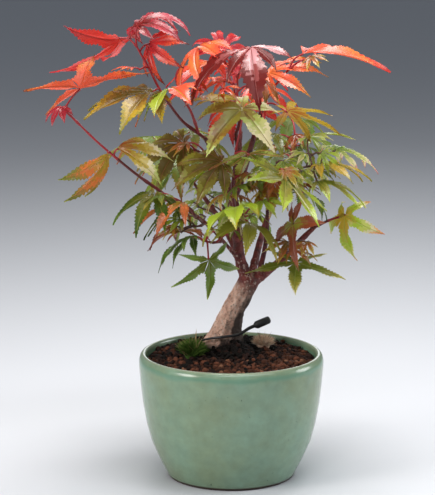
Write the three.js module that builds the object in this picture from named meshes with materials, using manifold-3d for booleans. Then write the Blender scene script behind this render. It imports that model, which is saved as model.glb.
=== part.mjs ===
// A small Japanese maple in a round glazed pot: leaning trunk, slender boughs, sprays of palmate leaves.
// Millimetres, +Z up. The origin is the middle of the pot's flat underside; the front faces -Y.

import * as THREE from 'three';
import { mergeVertices } from 'three/addons/utils/BufferGeometryUtils.js';
import Module from 'manifold-3d';

const wasm = await Module();
wasm.setup();

// Driving sizes: pot
const POT_HEIGHT = 62.5;
const POT_FOOT_RADIUS = 32;
const POT_WIDEST_RADIUS = 46;
const POT_MOUTH_RADIUS = 42.3;
const POT_FLOOR = 6;
const POT_SIDES = 36;
const DRAIN_HOLE_RADIUS = 4.5;
const DRAIN_HOLE_OFFSET = 15;
const DRAIN_HOLE_SIDES = 20;

// Driving sizes: ground in the pot
const GAP = 0.3;
const SOIL_EDGE_HEIGHT = 57.6;
const SOIL_BACK_RISE = 2.8;
const SOIL_MOUND = 3.6;
const SOIL_MOUND_REACH = 15;
const SOIL_GRAIN = 0.8;
const SOIL_SIDES = 32;
const SOIL_RINGS = 7;

// Driving sizes: trunk
const TRUNK_FOOT = new THREE.Vector3(-4, 17, 62.2);
const TRUNK_BURIED = 6;
const TRUNK_RADIUS_LOW = 6.3;
const TRUNK_RADIUS_FORK = 5;
const TRUNK_SIDES = 15;
const TRUNK_STEPS = 10;
const FLARE = 1;
const FLARE_REACH = 0.5;
const FLARE_LOBES = 5;

// Driving sizes: leaves and twigs
const LEAF_THICKNESS = 0.55;
const LOBE_STEP = 38;
const WIDEST_LOBE = 2;
const SHOULDER_AT = 0.5;
const SHOULDER_HALF_WIDTH = 0.13;
const SECTOR_FILL = 0.93;
const NOTCH = 0.27;
const HEEL = 0.07;
const SEVEN_LOBES = [1, 0.94, 0.7];
const FIVE_LOBES = [1, 0.92, 0.6];
const PETIOLE_RADIUS = 0.55;
const KNUCKLE_RADIUS = 0.8;
const FIRM_HOLD = 0.08;
const TWIG_SIDES = 3;
const LIMB_SIDES = 8;
const LIMB_STEPS = 7;
const VIEW_SLOPE = -0.19;
const FINEST_DETAIL = 0.12;
const STEM_RADIUS = 1.2;
const SIDE_SHOOT_RADIUS = 0.9;
const SHOOT_TIP_RADIUS = 0.65;
const SHOOT_STEPS = 5;
const STALK_ARCH = 0.1;
const STALK_SET_BACK = 0.08;
const ROOT_BELOW_LEAF = 6;
const HEIGHT_COST = 0.35;
const SMALLEST_TOUCH = 1e-6;
const SLIDES = [0, -2, 2, -4, 4, -7, 7, -10, 10];

// Driving sizes: leaves that follow the rule, in opposite pairs
const PAIR_TURN = 75;
const PAIR_WANDER = 0.5;
const PAIR_FORWARD = 0.5;

// Driving sizes: anchor wire and its sleeve, moss
const WIRE_RADIUS = 0.7;
const WIRE_ROUTE = [[-16.4, 11.8, 60], [-15.2, 11.2, 65], [-10.8, 8.2, 67.2], [-3.6, 5.4, 68.8], [3.5, 6.2, 69.8],
  [9.2, 8.8, 72.5], [12.2, 9.5, 73.7]];
const SLEEVE_RADIUS = 1.75;
const SLEEVE_LENGTH = 8;
const MOSS_CENTRE = new THREE.Vector3(-19.3, 1, 60);
const MOSS_SIZE = new THREE.Vector3(6.5, 5.5, 6.2);
const DRY_MOSS_CENTRE = new THREE.Vector3(16.4, 17, 61.3);
const DRY_MOSS_SIZE = new THREE.Vector3(5.8, 4, 4.4);

// Colours
const GLAZE = 0x6f9a86;
const SOIL = 0x5a3a28;
const BARK = 0x8a6a5c;
const SHOOT = 0x6e2f30;
const MOSS = 0x4f6b2e;
const DRY_MOSS = 0xb9a888;
const WIRE = 0x16130f;
const LEAF_COLOURS = {
  red: 0xb8322c,
  orange: 0xcf6a35,
  wine: 0x6a1f26,
  green: 0x6f7f36,
  lime: 0x93a544,
  gold: 0x9c8434,
};

const group = new THREE.Group();

function material(colour, roughness, metalness = 0) {
  return new THREE.MeshStandardMaterial({ color: colour, roughness, metalness });
}

// A repeatable stream of numbers from 0 to 1
function seeded(seed) {
  let state = seed >>> 0;
  return function next() {
    state = (state + 0x6d2b79f5) >>> 0;
    let t = state;
    t = Math.imul(t ^ (t >>> 15), t | 1);
    t ^= t + Math.imul(t ^ (t >>> 7), t | 61);
    return ((t ^ (t >>> 14)) >>> 0) / 4294967296;
  };
}

function solid(geometry) {
  const bare = geometry.clone();
  bare.deleteAttribute('normal');
  bare.deleteAttribute('uv');
  const merged = mergeVertices(bare, 1e-4);
  return new wasm.Manifold(new wasm.Mesh({
    numProp: 3,
    vertProperties: new Float32Array(merged.attributes.position.array),
    triVerts: new Uint32Array(merged.index.array),
  }));
}

// The largest piece of a solid, with any sealed hollow and loose scrap left behind
function mainPiece(whole) {
  const pieces = whole.decompose();
  return pieces.reduce((best, piece) => (piece.volume() > best.volume() ? piece : best));
}

function joined(solids) {
  return solids.reduce((sum, next) => sum.add(next));
}

function addMesh(name, body, skin) {
  const mesh = body.getMesh();
  const geometry = new THREE.BufferGeometry();
  const corners = new Float32Array(mesh.vertProperties);
  geometry.setAttribute('position', new THREE.BufferAttribute(corners, 3));
  geometry.setIndex(new THREE.BufferAttribute(new Uint32Array(mesh.triVerts), 1));
  geometry.computeVertexNormals();
  const node = new THREE.Mesh(geometry, skin);
  node.name = name;
  group.add(node);
}

function box(centre, size) {
  const geometry = new THREE.BoxGeometry(size.x, size.y, size.z);
  geometry.translate(centre.x, centre.y, centre.z);
  return solid(geometry);
}

// A tapering round limb along a smooth curve; shape(t, angle) scales its radius for flare and knots
function limbGeometry(path, startRadius, endRadius, sides, steps, grow = 0, shape = null) {
  const curve = new THREE.CatmullRomCurve3(path, false, 'centripetal');
  const frames = curve.computeFrenetFrames(steps, false);
  const geometry = new THREE.CylinderGeometry(1, 1, 1, sides, steps);
  const position = geometry.attributes.position;
  const point = new THREE.Vector3();
  for (let i = 0; i < position.count; i += 1) {
    const t = position.getY(i) + 0.5;
    const ring = Math.round(t * steps);
    const across = position.getX(i);
    const deep = -position.getZ(i);
    const scale = shape ? shape(t, Math.atan2(deep, across)) : 1;
    const radius = THREE.MathUtils.lerp(startRadius, endRadius, t) * scale + grow;
    curve.getPointAt(t, point);
    point.addScaledVector(frames.normals[ring], across * radius);
    point.addScaledVector(frames.binormals[ring], deep * radius);
    if (ring === 0) point.addScaledVector(frames.tangents[0], -grow);
    if (ring === steps) point.addScaledVector(frames.tangents[steps], grow);
    position.setXYZ(i, point.x, point.y, point.z);
  }
  return geometry;
}

function vectors(rows) {
  return rows.map((row) => new THREE.Vector3(...row));
}

// Pot: a round glazed bowl whose sides swell to a rolled-in lip, on a flat unglazed foot
function buildPot() {
  const foot = [[0, 0], [POT_FOOT_RADIUS - 0.8, 0], [POT_FOOT_RADIUS, 0.8]];
  const wall = [[37, 11], [41, 21], [44, 35.5], [45.6, 49], [POT_WIDEST_RADIUS, 57.5], [45.2, 61]];
  const lip = [[43.7, POT_HEIGHT], [POT_MOUTH_RADIUS, 61.2]];
  const inner = [[POT_MOUTH_RADIUS, 52], [39.5, 32], [34.2, 15], [27.5, POT_FLOOR], [0, POT_FLOOR]];
  const profile = [...foot, ...wall, ...lip, ...inner].map(([r, z]) => new THREE.Vector2(r, z));
  const bowl = new THREE.LatheGeometry(profile, POT_SIDES);
  bowl.rotateX(Math.PI / 2);
  let pot = solid(bowl);
  for (const side of [-1, 1]) {
    const radius = DRAIN_HOLE_RADIUS;
    const hole = new THREE.CylinderGeometry(radius, radius, POT_FLOOR * 3, DRAIN_HOLE_SIDES);
    hole.rotateX(Math.PI / 2);
    hole.translate(side * DRAIN_HOLE_OFFSET, 0, POT_FLOOR / 2);
    pot = pot.subtract(solid(hole));
  }
  return pot;
}

// Soil: gritty red-brown grains that fill the pot and rise a little to the foot of the trunk
function soilHeight(x, y) {
  const away = Math.hypot(x - TRUNK_FOOT.x, y - TRUNK_FOOT.y);
  const mound = SOIL_MOUND * Math.exp(-0.5 * (away / SOIL_MOUND_REACH) ** 2);
  const grain = Math.sin(x * 1.7 + 2 * Math.sin(y * 1.3)) * Math.cos(y * 1.9 + 2 * Math.sin(x * 0.9));
  const slope = SOIL_BACK_RISE * (0.5 + 0.5 * y / POT_MOUTH_RADIUS);
  return SOIL_EDGE_HEIGHT + slope + mound + SOIL_GRAIN * grain;
}

function buildSoil() {
  const wall = [[0, POT_FLOOR], [27.3, POT_FLOOR], [34, 15.2], [39.3, 32.2], [POT_MOUTH_RADIUS, 52.2]];
  const edge = POT_MOUTH_RADIUS - GAP;
  const profile = wall.map(([r, z]) => new THREE.Vector2(Math.max(0, r - GAP), z + GAP));
  for (let ring = 0; ring <= SOIL_RINGS; ring += 1) {
    profile.push(new THREE.Vector2(edge * (1 - ring / SOIL_RINGS), SOIL_EDGE_HEIGHT));
  }
  const geometry = new THREE.LatheGeometry(profile, SOIL_SIDES);
  geometry.rotateX(Math.PI / 2);
  const position = geometry.attributes.position;
  for (let i = 0; i < position.count; i += 1) {
    if (position.getZ(i) > SOIL_EDGE_HEIGHT - 1) {
      position.setZ(i, soilHeight(position.getX(i), position.getY(i)));
    }
  }
  return solid(geometry);
}

// Trunk: pale bark, leaning right as it rises, flared and lobed where the roots begin
function trunkShape(t, angle) {
  const flare = FLARE * Math.max(0, 1 - t / FLARE_REACH) ** 1.5;
  const lobes = 1 + flare * (1 + 0.35 * Math.cos(angle * FLARE_LOBES + 0.6));
  const knots = 1 + 0.03 * Math.sin(angle * 3 + t * 17) + 0.02 * Math.sin(angle * 5 - t * 31);
  const fork = 1 + 0.1 * Math.max(0, t - 0.8) / 0.2;
  return lobes * knots * fork;
}

const TRUNK_PATH = vectors([[-5.2, 17.6, TRUNK_FOOT.z - TRUNK_BURIED], [-3.3, 17, 64], [-0.7, 16, 75],
  [1.3, 15.2, 81], [5.2, 13.8, 88.5], [8.5, 12.8, 95], [9.6, 12.2, 99]]);

function buildTrunk(grow, cutHeight) {
  const whole = solid(limbGeometry(TRUNK_PATH, TRUNK_RADIUS_LOW, TRUNK_RADIUS_FORK, TRUNK_SIDES, TRUNK_STEPS,
    grow, trunkShape));
  const depth = 50;
  const below = box(new THREE.Vector3(TRUNK_FOOT.x, TRUNK_FOOT.y, cutHeight - depth / 2),
    new THREE.Vector3(POT_MOUTH_RADIUS, POT_MOUTH_RADIUS, depth));
  return mainPiece(whole.subtract(below));
}

// Boughs: each one tapering limb; each is cut clear of the limbs it grows from
const BOUGHS = {
  leader: {
    path: [[8.4, 12.3, 96.5], [5.4, 11.2, 104], [3.7, 9.7, 112], [3.2, 8.8, 120], [2.3, 8, 130],
      [1, 7, 138.5], [0.6, 7, 142]],
    radii: [3, 2.3],
    from: ['trunk'],
  },
  right_limb: {
    path: [[9, 12.4, 93.5], [15.5, 12.6, 98.6], [25.5, 13, 107], [35.4, 13, 117.2], [42, 12, 124]],
    radii: [2.4, 1.3],
    from: ['trunk', 'leader'],
  },
  left_shoot: {
    path: [[5.2, 10.8, 105], [1, 6, 111.5], [-3, 2, 117], [-13, -3, 128.5], [-24, -6, 137], [-36, -9, 146]],
    radii: [1.7, 1.1],
    from: ['trunk', 'leader'],
  },
  inner_limb: {
    path: [[13.4, 12.5, 97.5], [16.9, 14, 112.5], [17.9, 15, 121.4], [18.6, 16, 134], [20.6, 16, 140]],
    radii: [1.6, 1.1],
    from: ['trunk', 'leader', 'right_limb'],
  },
  left_fork: {
    path: [[0.8, 7, 139.5], [-1.2, 6.4, 143.5], [-3.4, 5.5, 150], [-9, 4, 162], [-13, 3, 170]],
    radii: [2.1, 1.3],
    from: ['leader'],
  },
  right_fork: {
    path: [[0.9, 7, 139.5], [3, 7.6, 143], [5, 8.3, 148.5], [7.4, 9, 156], [10, 10, 165], [15, 12, 182]],
    radii: [1.9, 1.3],
    from: ['leader', 'left_fork'],
  },
  centre_shoot: {
    path: [[5.2, 8.5, 149], [3.6, 9.5, 156], [3, 8.5, 165], [2, 8, 172]],
    radii: [1.5, 1.2],
    from: ['right_fork', 'leader', 'left_fork'],
  },
  back_limb_left: {
    path: [[6.4, 12, 101], [1, 21, 113], [-7, 31, 126], [-15, 38, 136]],
    radii: [2, 1.2],
    from: ['trunk', 'leader', 'left_shoot'],
  },
  back_limb_right: {
    path: [[9.6, 13, 96.5], [15, 24, 115], [21, 34, 131], [27, 41, 143]],
    radii: [2.1, 1.2],
    from: ['trunk', 'leader', 'right_limb', 'inner_limb'],
  },
  back_limb_top: {
    path: [[2, 8.4, 131], [2, 17, 144], [4, 26, 158], [5, 31, 169]],
    radii: [1.7, 1.1],
    from: ['leader', 'right_fork', 'left_fork'],
  },
};

// Leaf: lobes spread like fingers from the foot of the blade and curl down together
function leafFrame(heading, pitch, roll) {
  const h = THREE.MathUtils.degToRad(heading);
  const p = THREE.MathUtils.degToRad(pitch);
  const r = THREE.MathUtils.degToRad(roll);
  const along = new THREE.Vector3(Math.cos(h) * Math.cos(p), Math.sin(h) * Math.cos(p), Math.sin(p));
  const level = new THREE.Vector3(-Math.sin(h), Math.cos(h), 0);
  const upright = new THREE.Vector3().crossVectors(along, level);
  const across = level.multiplyScalar(Math.cos(r)).addScaledVector(upright, Math.sin(r));
  const up = new THREE.Vector3().crossVectors(along, across);
  return { along, across, up };
}

function lobeLength(leaf, lobe) {
  const lengths = leaf.lobes === 5 ? FIVE_LOBES : SEVEN_LOBES;
  return leaf.length * lengths[Math.abs(lobe)];
}

// The flat outline, seen from above with the middle lobe along +X; the third number marks a lobe's tip
function leafOutline(leaf, grow) {
  const step = THREE.MathUtils.degToRad(leaf.step);
  const outline = [];
  const addPoint = (angle, along, aside, tip = false) => {
    const x = along * Math.cos(angle) - aside * Math.sin(angle);
    const y = along * Math.sin(angle) + aside * Math.cos(angle);
    outline.push({ x, y, tip });
  };
  for (let lobe = leaf.from; lobe <= leaf.to; lobe += 1) {
    const length = lobeLength(leaf, lobe);
    const angle = step * lobe;
    const room = SECTOR_FILL * SHOULDER_AT * length * Math.tan(step / 2);
    const halfWidth = Math.min(SHOULDER_HALF_WIDTH * length + grow, room);
    addPoint(angle, SHOULDER_AT * length, -halfWidth);
    addPoint(angle, length + grow, 0, true);
    addPoint(angle, SHOULDER_AT * length, halfWidth);
    if (lobe < leaf.to) addPoint(angle + step / 2, NOTCH * Math.min(length, lobeLength(leaf, lobe + 1)), 0);
  }
  addPoint(step * (leaf.from + leaf.to) / 2 + Math.PI, HEEL * leaf.length + grow, 0);
  return outline;
}

// A point of the flat blade, bent down along the nearest lobe; below is its depth under the upper face
function bentPoint(leaf, frame, flat, below) {
  const step = THREE.MathUtils.degToRad(leaf.step);
  const droop = THREE.MathUtils.degToRad(Math.max(leaf.droop, 1));
  const nearest = Math.round(Math.atan2(flat.y, flat.x) / step - 1e-6);
  const lobe = THREE.MathUtils.clamp(nearest, leaf.from, leaf.to);
  const cos = Math.cos(step * lobe);
  const sin = Math.sin(step * lobe);
  const out = frame.along.clone().multiplyScalar(cos).addScaledVector(frame.across, sin);
  const side = frame.across.clone().multiplyScalar(cos).addScaledVector(frame.along, -sin);
  const length = lobeLength(leaf, lobe);
  const bend = droop * (flat.x * cos + flat.y * sin) / length;
  const point = leaf.foot.clone();
  point.addScaledVector(out, length * Math.sin(bend) / droop - below * Math.sin(bend));
  point.addScaledVector(frame.up, -length * (1 - Math.cos(bend)) / droop - below * Math.cos(bend));
  return point.addScaledVector(side, flat.y * cos - flat.x * sin);
}

// The blade: an upper and a lower face, each a fan about the foot with a triangle on it for every tip
function leafGeometry(leaf, grow = 0) {
  const frame = leafFrame(leaf.heading, leaf.pitch, leaf.roll);
  const rim = leafOutline(leaf, grow);
  const flat = [...rim, { x: 0, y: 0, tip: false }];
  const hub = rim.length;
  const upper = flat.map((point) => bentPoint(leaf, frame, point, -grow));
  const lower = flat.map((point) => bentPoint(leaf, frame, point, LEAF_THICKNESS + grow));
  const faces = [];
  const addFace = (a, b, c) => faces.push([a, b, c], [a + flat.length, c + flat.length, b + flat.length]);
  for (let i = 0; i < rim.length; i += 1) {
    const next = (i + 1) % rim.length;
    const afterNext = (i + 2) % rim.length;
    if (rim[next].tip) {
      addFace(i, next, afterNext);
      addFace(hub, i, afterNext);
    } else if (!rim[i].tip) {
      addFace(hub, i, next);
    }
    faces.push([i, i + flat.length, next + flat.length], [i, next + flat.length, next]);
  }
  const geometry = new THREE.BufferGeometry().setFromPoints([...upper, ...lower]);
  geometry.setIndex(faces.flat());
  return geometry;
}

// Petiole: the leaf's own stalk, from the shoot it grows on into the foot of the blade
function nearestOn(curves, foot) {
  let best = null;
  for (const curve of curves) {
    for (let i = 3; i <= 20; i += 1) {
      const point = curve.getPointAt(i / 20);
      const cost = point.distanceTo(foot) + HEIGHT_COST * Math.max(0, point.z - foot.z + ROOT_BELOW_LEAF);
      if (!best || cost < best.cost) best = { cost, point };
    }
  }
  return best.point;
}

function petioleSolid(root, leaf, grow = 0) {
  const frame = leafFrame(leaf.heading, leaf.pitch, leaf.roll);
  const span = root.distanceTo(leaf.foot);
  const knuckle = leaf.foot.clone().addScaledVector(frame.up, -0.5 * LEAF_THICKNESS);
  const middle = root.clone().lerp(knuckle, 0.55).addScaledVector(frame.along, -STALK_SET_BACK * span);
  middle.z += STALK_ARCH * span;
  const stalk = solid(limbGeometry([root, middle, knuckle], PETIOLE_RADIUS * 1.2, PETIOLE_RADIUS, 3, 3, grow));
  const hold = grow === 0 ? stalk.intersect(solid(leafGeometry(leaf))).volume() : 0;
  if (hold > FIRM_HOLD) return stalk;
  const swelling = new THREE.OctahedronGeometry(KNUCKLE_RADIUS + grow);
  swelling.translate(knuckle.x, knuckle.y, knuckle.z);
  return stalk.add(solid(swelling));
}

// One placed leaf: foot x, y, z; heading, pitch, roll; length; droop; then lobes, step between them, range
function leafFromRow(row) {
  const [x, y, z, heading, pitch, roll, length, droop] = row;
  const [lobes = 7, step = LOBE_STEP, from = -WIDEST_LOBE, to = WIDEST_LOBE] = row.slice(8);
  const foot = new THREE.Vector3(x, y, z);
  return { foot, heading, pitch, roll, length, droop, lobes, step, from, to };
}

// The rule for a shoot's own leaves: opposite pairs, each pair turned a quarter round from the last
function pairedLeaves(curve, rule) {
  const random = seeded(rule.seed);
  const leaves = [];
  for (let node = 0; node < rule.nodes; node += 1) {
    const t = THREE.MathUtils.lerp(rule.start, 1, rule.nodes > 1 ? node / (rule.nodes - 1) : 1);
    const centre = curve.getPointAt(t);
    const ahead = curve.getTangentAt(t);
    const turn = THREE.MathUtils.degToRad(rule.turn + node * PAIR_TURN);
    for (const side of [0, Math.PI]) {
      const heading = turn + side + PAIR_WANDER * (random() - 0.5);
      const stalk = new THREE.Vector3(Math.cos(heading), Math.sin(heading), 0.25 + 0.5 * random());
      stalk.addScaledVector(ahead, PAIR_FORWARD).normalize();
      const foot = centre.clone().addScaledVector(stalk, rule.stalk * (0.8 + 0.4 * random()));
      leaves.push({
        foot,
        heading: THREE.MathUtils.radToDeg(Math.atan2(stalk.y, stalk.x)),
        pitch: -6 - 22 * random(),
        roll: 30 * (random() - 0.5),
        length: rule.length * (0.88 + 0.26 * random()),
        droop: 35 + 30 * random(),
        lobes: 7,
        step: LOBE_STEP,
        from: -WIDEST_LOBE,
        to: WIDEST_LOBE,
      });
    }
  }
  return leaves;
}

// Masses of foliage: each has its shoots, the first one its stem, and the leaves that show from the front;
// a mass on a hidden side takes all its leaves from the rule
const SPRAYS = {
  spray_left: {
    colour: 'gold',
    from: 'left_shoot',
    shoots: [
      [[-35, -8.8, 145.2], [-46, -11, 153.5], [-56, -12.5, 162], [-65, -13.5, 170], [-74, -14, 179]],
      [[-73, -14, 178], [-78, -14, 183], [-83, -14, 187]],
    ],
    leaves: [
      [-59, -16, 165, 246, -18, -99, 36, 41, 7, 32, 0, 2],
      [-55, -14, 167, 323, -13, 27, 31, 53, 7, 38, 0, 2],
      [-73, -12, 196, 283, 38, 8, 38, 19, 5, 66, -2, 1],
      [-82, -14, 187, 160, 30, 0, 10, 30, 5, 50],
    ],
  },
  spray_top_left: {
    colour: 'red',
    from: 'left_fork',
    shoots: [
      [[-12.5, 3.1, 169], [-18, 3.4, 173], [-24, 2, 178], [-30, 0, 186],
        [-35, -2, 194], [-40, -3, 204], [-46, -3, 215]],
      [[-16, 3.2, 171.5], [-20, 1, 183], [-25, 0, 192], [-27, 2, 200], [-23, 4, 207]],
    ],
    leaves: [
      [-54, 2, 218, 184, -40, -151, 39, 36, 5, 61, -1, 2],
      [-46, -6, 225, 45, 42, -11, 37, 86, 7, 36],
      [-40, 2, 216, 290, -18, 63, 25, 59],
      [-16, 8, 214, 252, -9, 32, 34, 71],
      [-38, -8, 194, 205, -2, -10, 38, 41],
      [-30, -8, 195, 248, 0, 24, 30, 52],
    ],
  },
  spray_top_centre: {
    colour: 'wine',
    from: 'centre_shoot',
    shoots: [
      [[2.3, 8.1, 171], [5, 8, 180], [3, 8, 189], [3, 6, 199]],
    ],
    leaves: [
      [9, -10, 215, 272, -13, 7, 38, 57],
      [-5, 10, 212, 102, 42, -8, 27, 57],
      [3, 4, 201, 270, 50, 0, 10, 30, 5, 50],
      [-10, 2, 188, 302, 28, -10, 30, 48],
    ],
  },
  spray_top_right: {
    colour: 'orange',
    from: 'right_fork',
    shoots: [
      [[14.7, 11.9, 181], [17, 13, 187], [20, 13, 192], [28, 12, 202]],
    ],
    leaves: [
      [35, 10, 211, 357, 3, 3, 44, 30, 7, 39, 0, 2],
      [18, 16, 200, 333, 25, 33, 32, 55],
      [27, -6, 184, 5, -16, -28, 30, 18, 7, 46],
    ],
  },
  spray_front: {
    colour: 'lime',
    from: 'leader',
    shoots: [
      [[1.7, 6.6, 133], [0.5, -2, 144], [1, -9, 155], [2, -13, 166]],
    ],
    leaves: [
      [4.9, -20, 186.6, 223, -27, -15, 31, 40, 5, 70],
      [-5, -18, 161, 204, -6, -33, 29, 55],
      [8, -20, 165, 106, -35, -7, 30, 19],
      [-11, -16, 156, 200, -20, 0, 14, 40, 5, 40],
    ],
  },
  spray_left_inner: {
    colour: 'green',
    from: 'left_fork',
    shoots: [
      [[-8, 4.3, 158], [-13, 3, 161], [-18, 2.5, 164]],
    ],
    leaves: [
      [-23, 2, 167, 178, -12, -40, 31, 60],
    ],
  },
  spray_right_upper: {
    colour: 'lime',
    from: 'inner_limb',
    shoots: [
      [[20.8, 16.1, 139], [27, 14, 148], [34, 12, 153], [43, 11, 155]],
    ],
    leaves: [
      [38, 19, 168, 30, 11, -11, 26, 31],
      [52, 16, 162, 35, 5, 16, 28, 60],
      [43, 4, 157, 345, 7, -4, 29, 55],
      [42, -2, 149, 4, 0, 0, 29, 55],
    ],
  },
  spray_right_front: {
    colour: 'green',
    from: 'inner_limb',
    shoots: [
      [[18.6, 15.7, 132], [21, 8, 139], [24.6, 0, 144], [26, -6, 149]],
    ],
    leaves: [
      [26, -16, 153, 268, -17, -35, 37, 3],
      [35, -6, 144, 84, -2, 17, 28, 61],
      [19, -4, 151, 285, -50, 0, 22, 80, 7, 34],
    ],
  },
  spray_right_low: {
    colour: 'lime',
    from: 'right_limb',
    shoots: [
      [[41.3, 12.1, 123.3], [50, 9, 128], [55, 6, 130]],
    ],
    leaves: [
      [56, 4, 131, 246, -74, 22, 26, 70, 5, 65],
    ],
  },
  spray_right_hanging: {
    colour: 'orange',
    from: 'right_limb',
    shoots: [
      [[26, 13, 107.5], [28, 5, 114], [30, -3, 121]],
    ],
    leaves: [
      [30, -14, 130, 266, -61, 53, 24, 20, 5, 79],
      [32, -4, 109, 265, -20, -3, 30, 3, 5, 63],
    ],
  },
  spray_low_centre: {
    colour: 'lime',
    from: 'leader',
    shoots: [
      [[2.8, 8.2, 125], [3, 0, 128], [5, -7, 131]],
    ],
    leaves: [
      [4, -22, 139.5, 220, 3, 26, 30, 60, 7, 37],
      [9, -12, 130, 270, 0, -19, 31, 51],
    ],
  },
  spray_low_left: {
    colour: 'green',
    from: 'left_shoot',
    shoots: [
      [[-4.2, 1.4, 118.4], [-9, -3, 118.5], [-14, -6, 120]],
    ],
    leaves: [
      [-11, -14, 112, 64, -77, 129, 26, 35, 5, 55],
      [-19, -10, 123, 173, -19, 18, 26, 54],
    ],
  },
  spray_left_middle: {
    colour: 'orange',
    from: 'left_shoot',
    shoots: [
      [[-17.5, -4.4, 132], [-18, -9, 133], [-20, -13, 137], [-26, -14, 141]],
    ],
    leaves: [
      [-23, -17, 141, 195, -3, -2, 30, 54, 7, 38, 0, 2],
      [-37, -13, 145, 244, -13, -4, 29, 55],
    ],
  },
  spray_left_under: {
    colour: 'green',
    from: 'left_shoot',
    shoots: [
      [[-13, -3, 128.5], [-15, 2, 126], [-20, 4, 125]],
    ],
    leaves: [
      [-25, 2, 123, 101, 5, -4, 29, 53],
      [-24, 9, 134, 190, -10, 20, 27, 50, 7, 36],
    ],
  },
  spray_back_left: {
    colour: 'green',
    from: 'back_limb_left',
    shoots: [
      [[-14.5, 37.6, 135.4], [-22, 43, 145], [-29, 46, 156]],
    ],
    rule: { seed: 11, nodes: 3, start: 0.2, turn: 35, stalk: 15, length: 30 },
  },
  spray_back_right: {
    colour: 'green',
    from: 'back_limb_right',
    shoots: [
      [[26.6, 40.6, 142.3], [31, 46, 152], [33, 49, 163]],
    ],
    rule: { seed: 23, nodes: 3, start: 0.2, turn: 125, stalk: 15, length: 30 },
  },
  spray_back_top: {
    colour: 'orange',
    from: 'back_limb_top',
    shoots: [
      [[4.9, 30.8, 168], [3, 33, 180], [1, 34, 192]],
    ],
    rule: { seed: 37, nodes: 3, start: 0.2, turn: 70, stalk: 15, length: 29 },
  },
  spray_back_low: {
    colour: 'lime',
    from: 'back_limb_left',
    shoots: [
      [[-3.6, 26.5, 120], [-4, 36, 122], [0, 44, 126]],
    ],
    rule: { seed: 41, nodes: 2, start: 0.5, turn: 0, stalk: 13, length: 28 },
  },
};

function apart(first, second) {
  const a = first.boundingBox();
  const b = second.boundingBox();
  return [0, 1, 2].some((k) => a.min[k] > b.max[k] || b.min[k] > a.max[k]);
}

function clears(parts, taken) {
  const missed = (piece, other) => apart(piece, other) || piece.intersect(other).volume() < SMALLEST_TOUCH;
  return parts.every((piece) => taken.every((other) => missed(piece, other)));
}

// A leaf that would touch a limb or stray into another mass is slid a little nearer or further, or skipped
function buildSpray(spray, grownLimbs, taken) {
  const curves = spray.shoots.map((path) => new THREE.CatmullRomCurve3(vectors(path), false, 'centripetal'));
  const parts = spray.shoots.map((path, i) => solid(limbGeometry(
    vectors(path), i ? SIDE_SHOOT_RADIUS : STEM_RADIUS, SHOOT_TIP_RADIUS, TWIG_SIDES, SHOOT_STEPS)));
  const wanted = spray.rule ? pairedLeaves(curves[0], spray.rule) : spray.leaves.map(leafFromRow);
  const obstacles = [...Object.values(grownLimbs), ...taken];
  for (const leaf of wanted) {
    const home = leaf.foot.clone();
    const root = nearestOn(curves, home);
    const slide = SLIDES.find((step) => {
      leaf.foot.set(home.x, home.y + step, home.z + VIEW_SLOPE * step);
      return clears([solid(leafGeometry(leaf, GAP)), petioleSolid(root, leaf, GAP)], obstacles);
    });
    if (slide !== undefined) parts.push(petioleSolid(root, leaf), solid(leafGeometry(leaf)));
  }
  let body = joined(parts);
  body = body.subtract(grownLimbs[spray.from]);
  return mainPiece(body).simplify(FINEST_DETAIL);
}

// Moss tuft and the pale dried moss: low lumps that rest on the soil
function lump(centre, size, seed, bump) {
  const random = seeded(seed);
  const phase = random() * 6;
  const geometry = new THREE.SphereGeometry(1, 11, 7);
  const position = geometry.attributes.position;
  for (let i = 0; i < position.count; i += 1) {
    const x = position.getX(i);
    const y = position.getY(i);
    const z = position.getZ(i);
    const swell = 1 + bump * Math.sin(5 * x + phase) * Math.cos(4 * y - phase) * Math.sin(3 * z + 1);
    const outward = new THREE.Vector3(x, y, z).multiply(size).multiplyScalar(swell).add(centre);
    position.setXYZ(i, outward.x, outward.y, outward.z);
  }
  return solid(geometry);
}

// Sleeve: a short round cap that carries on past the end of the wire
function buildSleeve(path) {
  const aim = new THREE.CatmullRomCurve3(path, false, 'centripetal').getTangentAt(1);
  const start = path[path.length - 1].clone().addScaledVector(aim, GAP);
  const near = [[0, 0], [SLEEVE_RADIUS - 0.3, 0], [SLEEVE_RADIUS, 0.3]];
  const far = [[SLEEVE_RADIUS, SLEEVE_LENGTH - 0.5], [SLEEVE_RADIUS - 0.5, SLEEVE_LENGTH], [0, SLEEVE_LENGTH]];
  const profile = [...near, ...far];
  const geometry = new THREE.LatheGeometry(profile.map(([r, y]) => new THREE.Vector2(r, y)), 14);
  geometry.applyQuaternion(new THREE.Quaternion().setFromUnitVectors(new THREE.Vector3(0, 1, 0), aim));
  geometry.translate(start.x, start.y, start.z);
  return solid(geometry);
}

// Assembly
const pot = buildPot();
const trunk = buildTrunk(0, TRUNK_FOOT.z);
const trunkRoom = buildTrunk(GAP, TRUNK_FOOT.z - GAP);
const soil = mainPiece(buildSoil().subtract(trunkRoom));
const soilRoom = soil.translate([0, 0, GAP]);
addMesh('pot', pot, material(GLAZE, 0.25));
addMesh('soil', soil, material(SOIL, 0.95));
addMesh('trunk', trunk, material(BARK, 0.8));

const moss = lump(MOSS_CENTRE, MOSS_SIZE, 5, 0.12);
addMesh('moss_tuft', mainPiece(moss.subtract(soilRoom)), material(MOSS, 0.95));
const dryMoss = lump(DRY_MOSS_CENTRE, DRY_MOSS_SIZE, 9, 0.2);
addMesh('dry_moss', mainPiece(dryMoss.subtract(soilRoom)), material(DRY_MOSS, 0.95));

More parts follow.
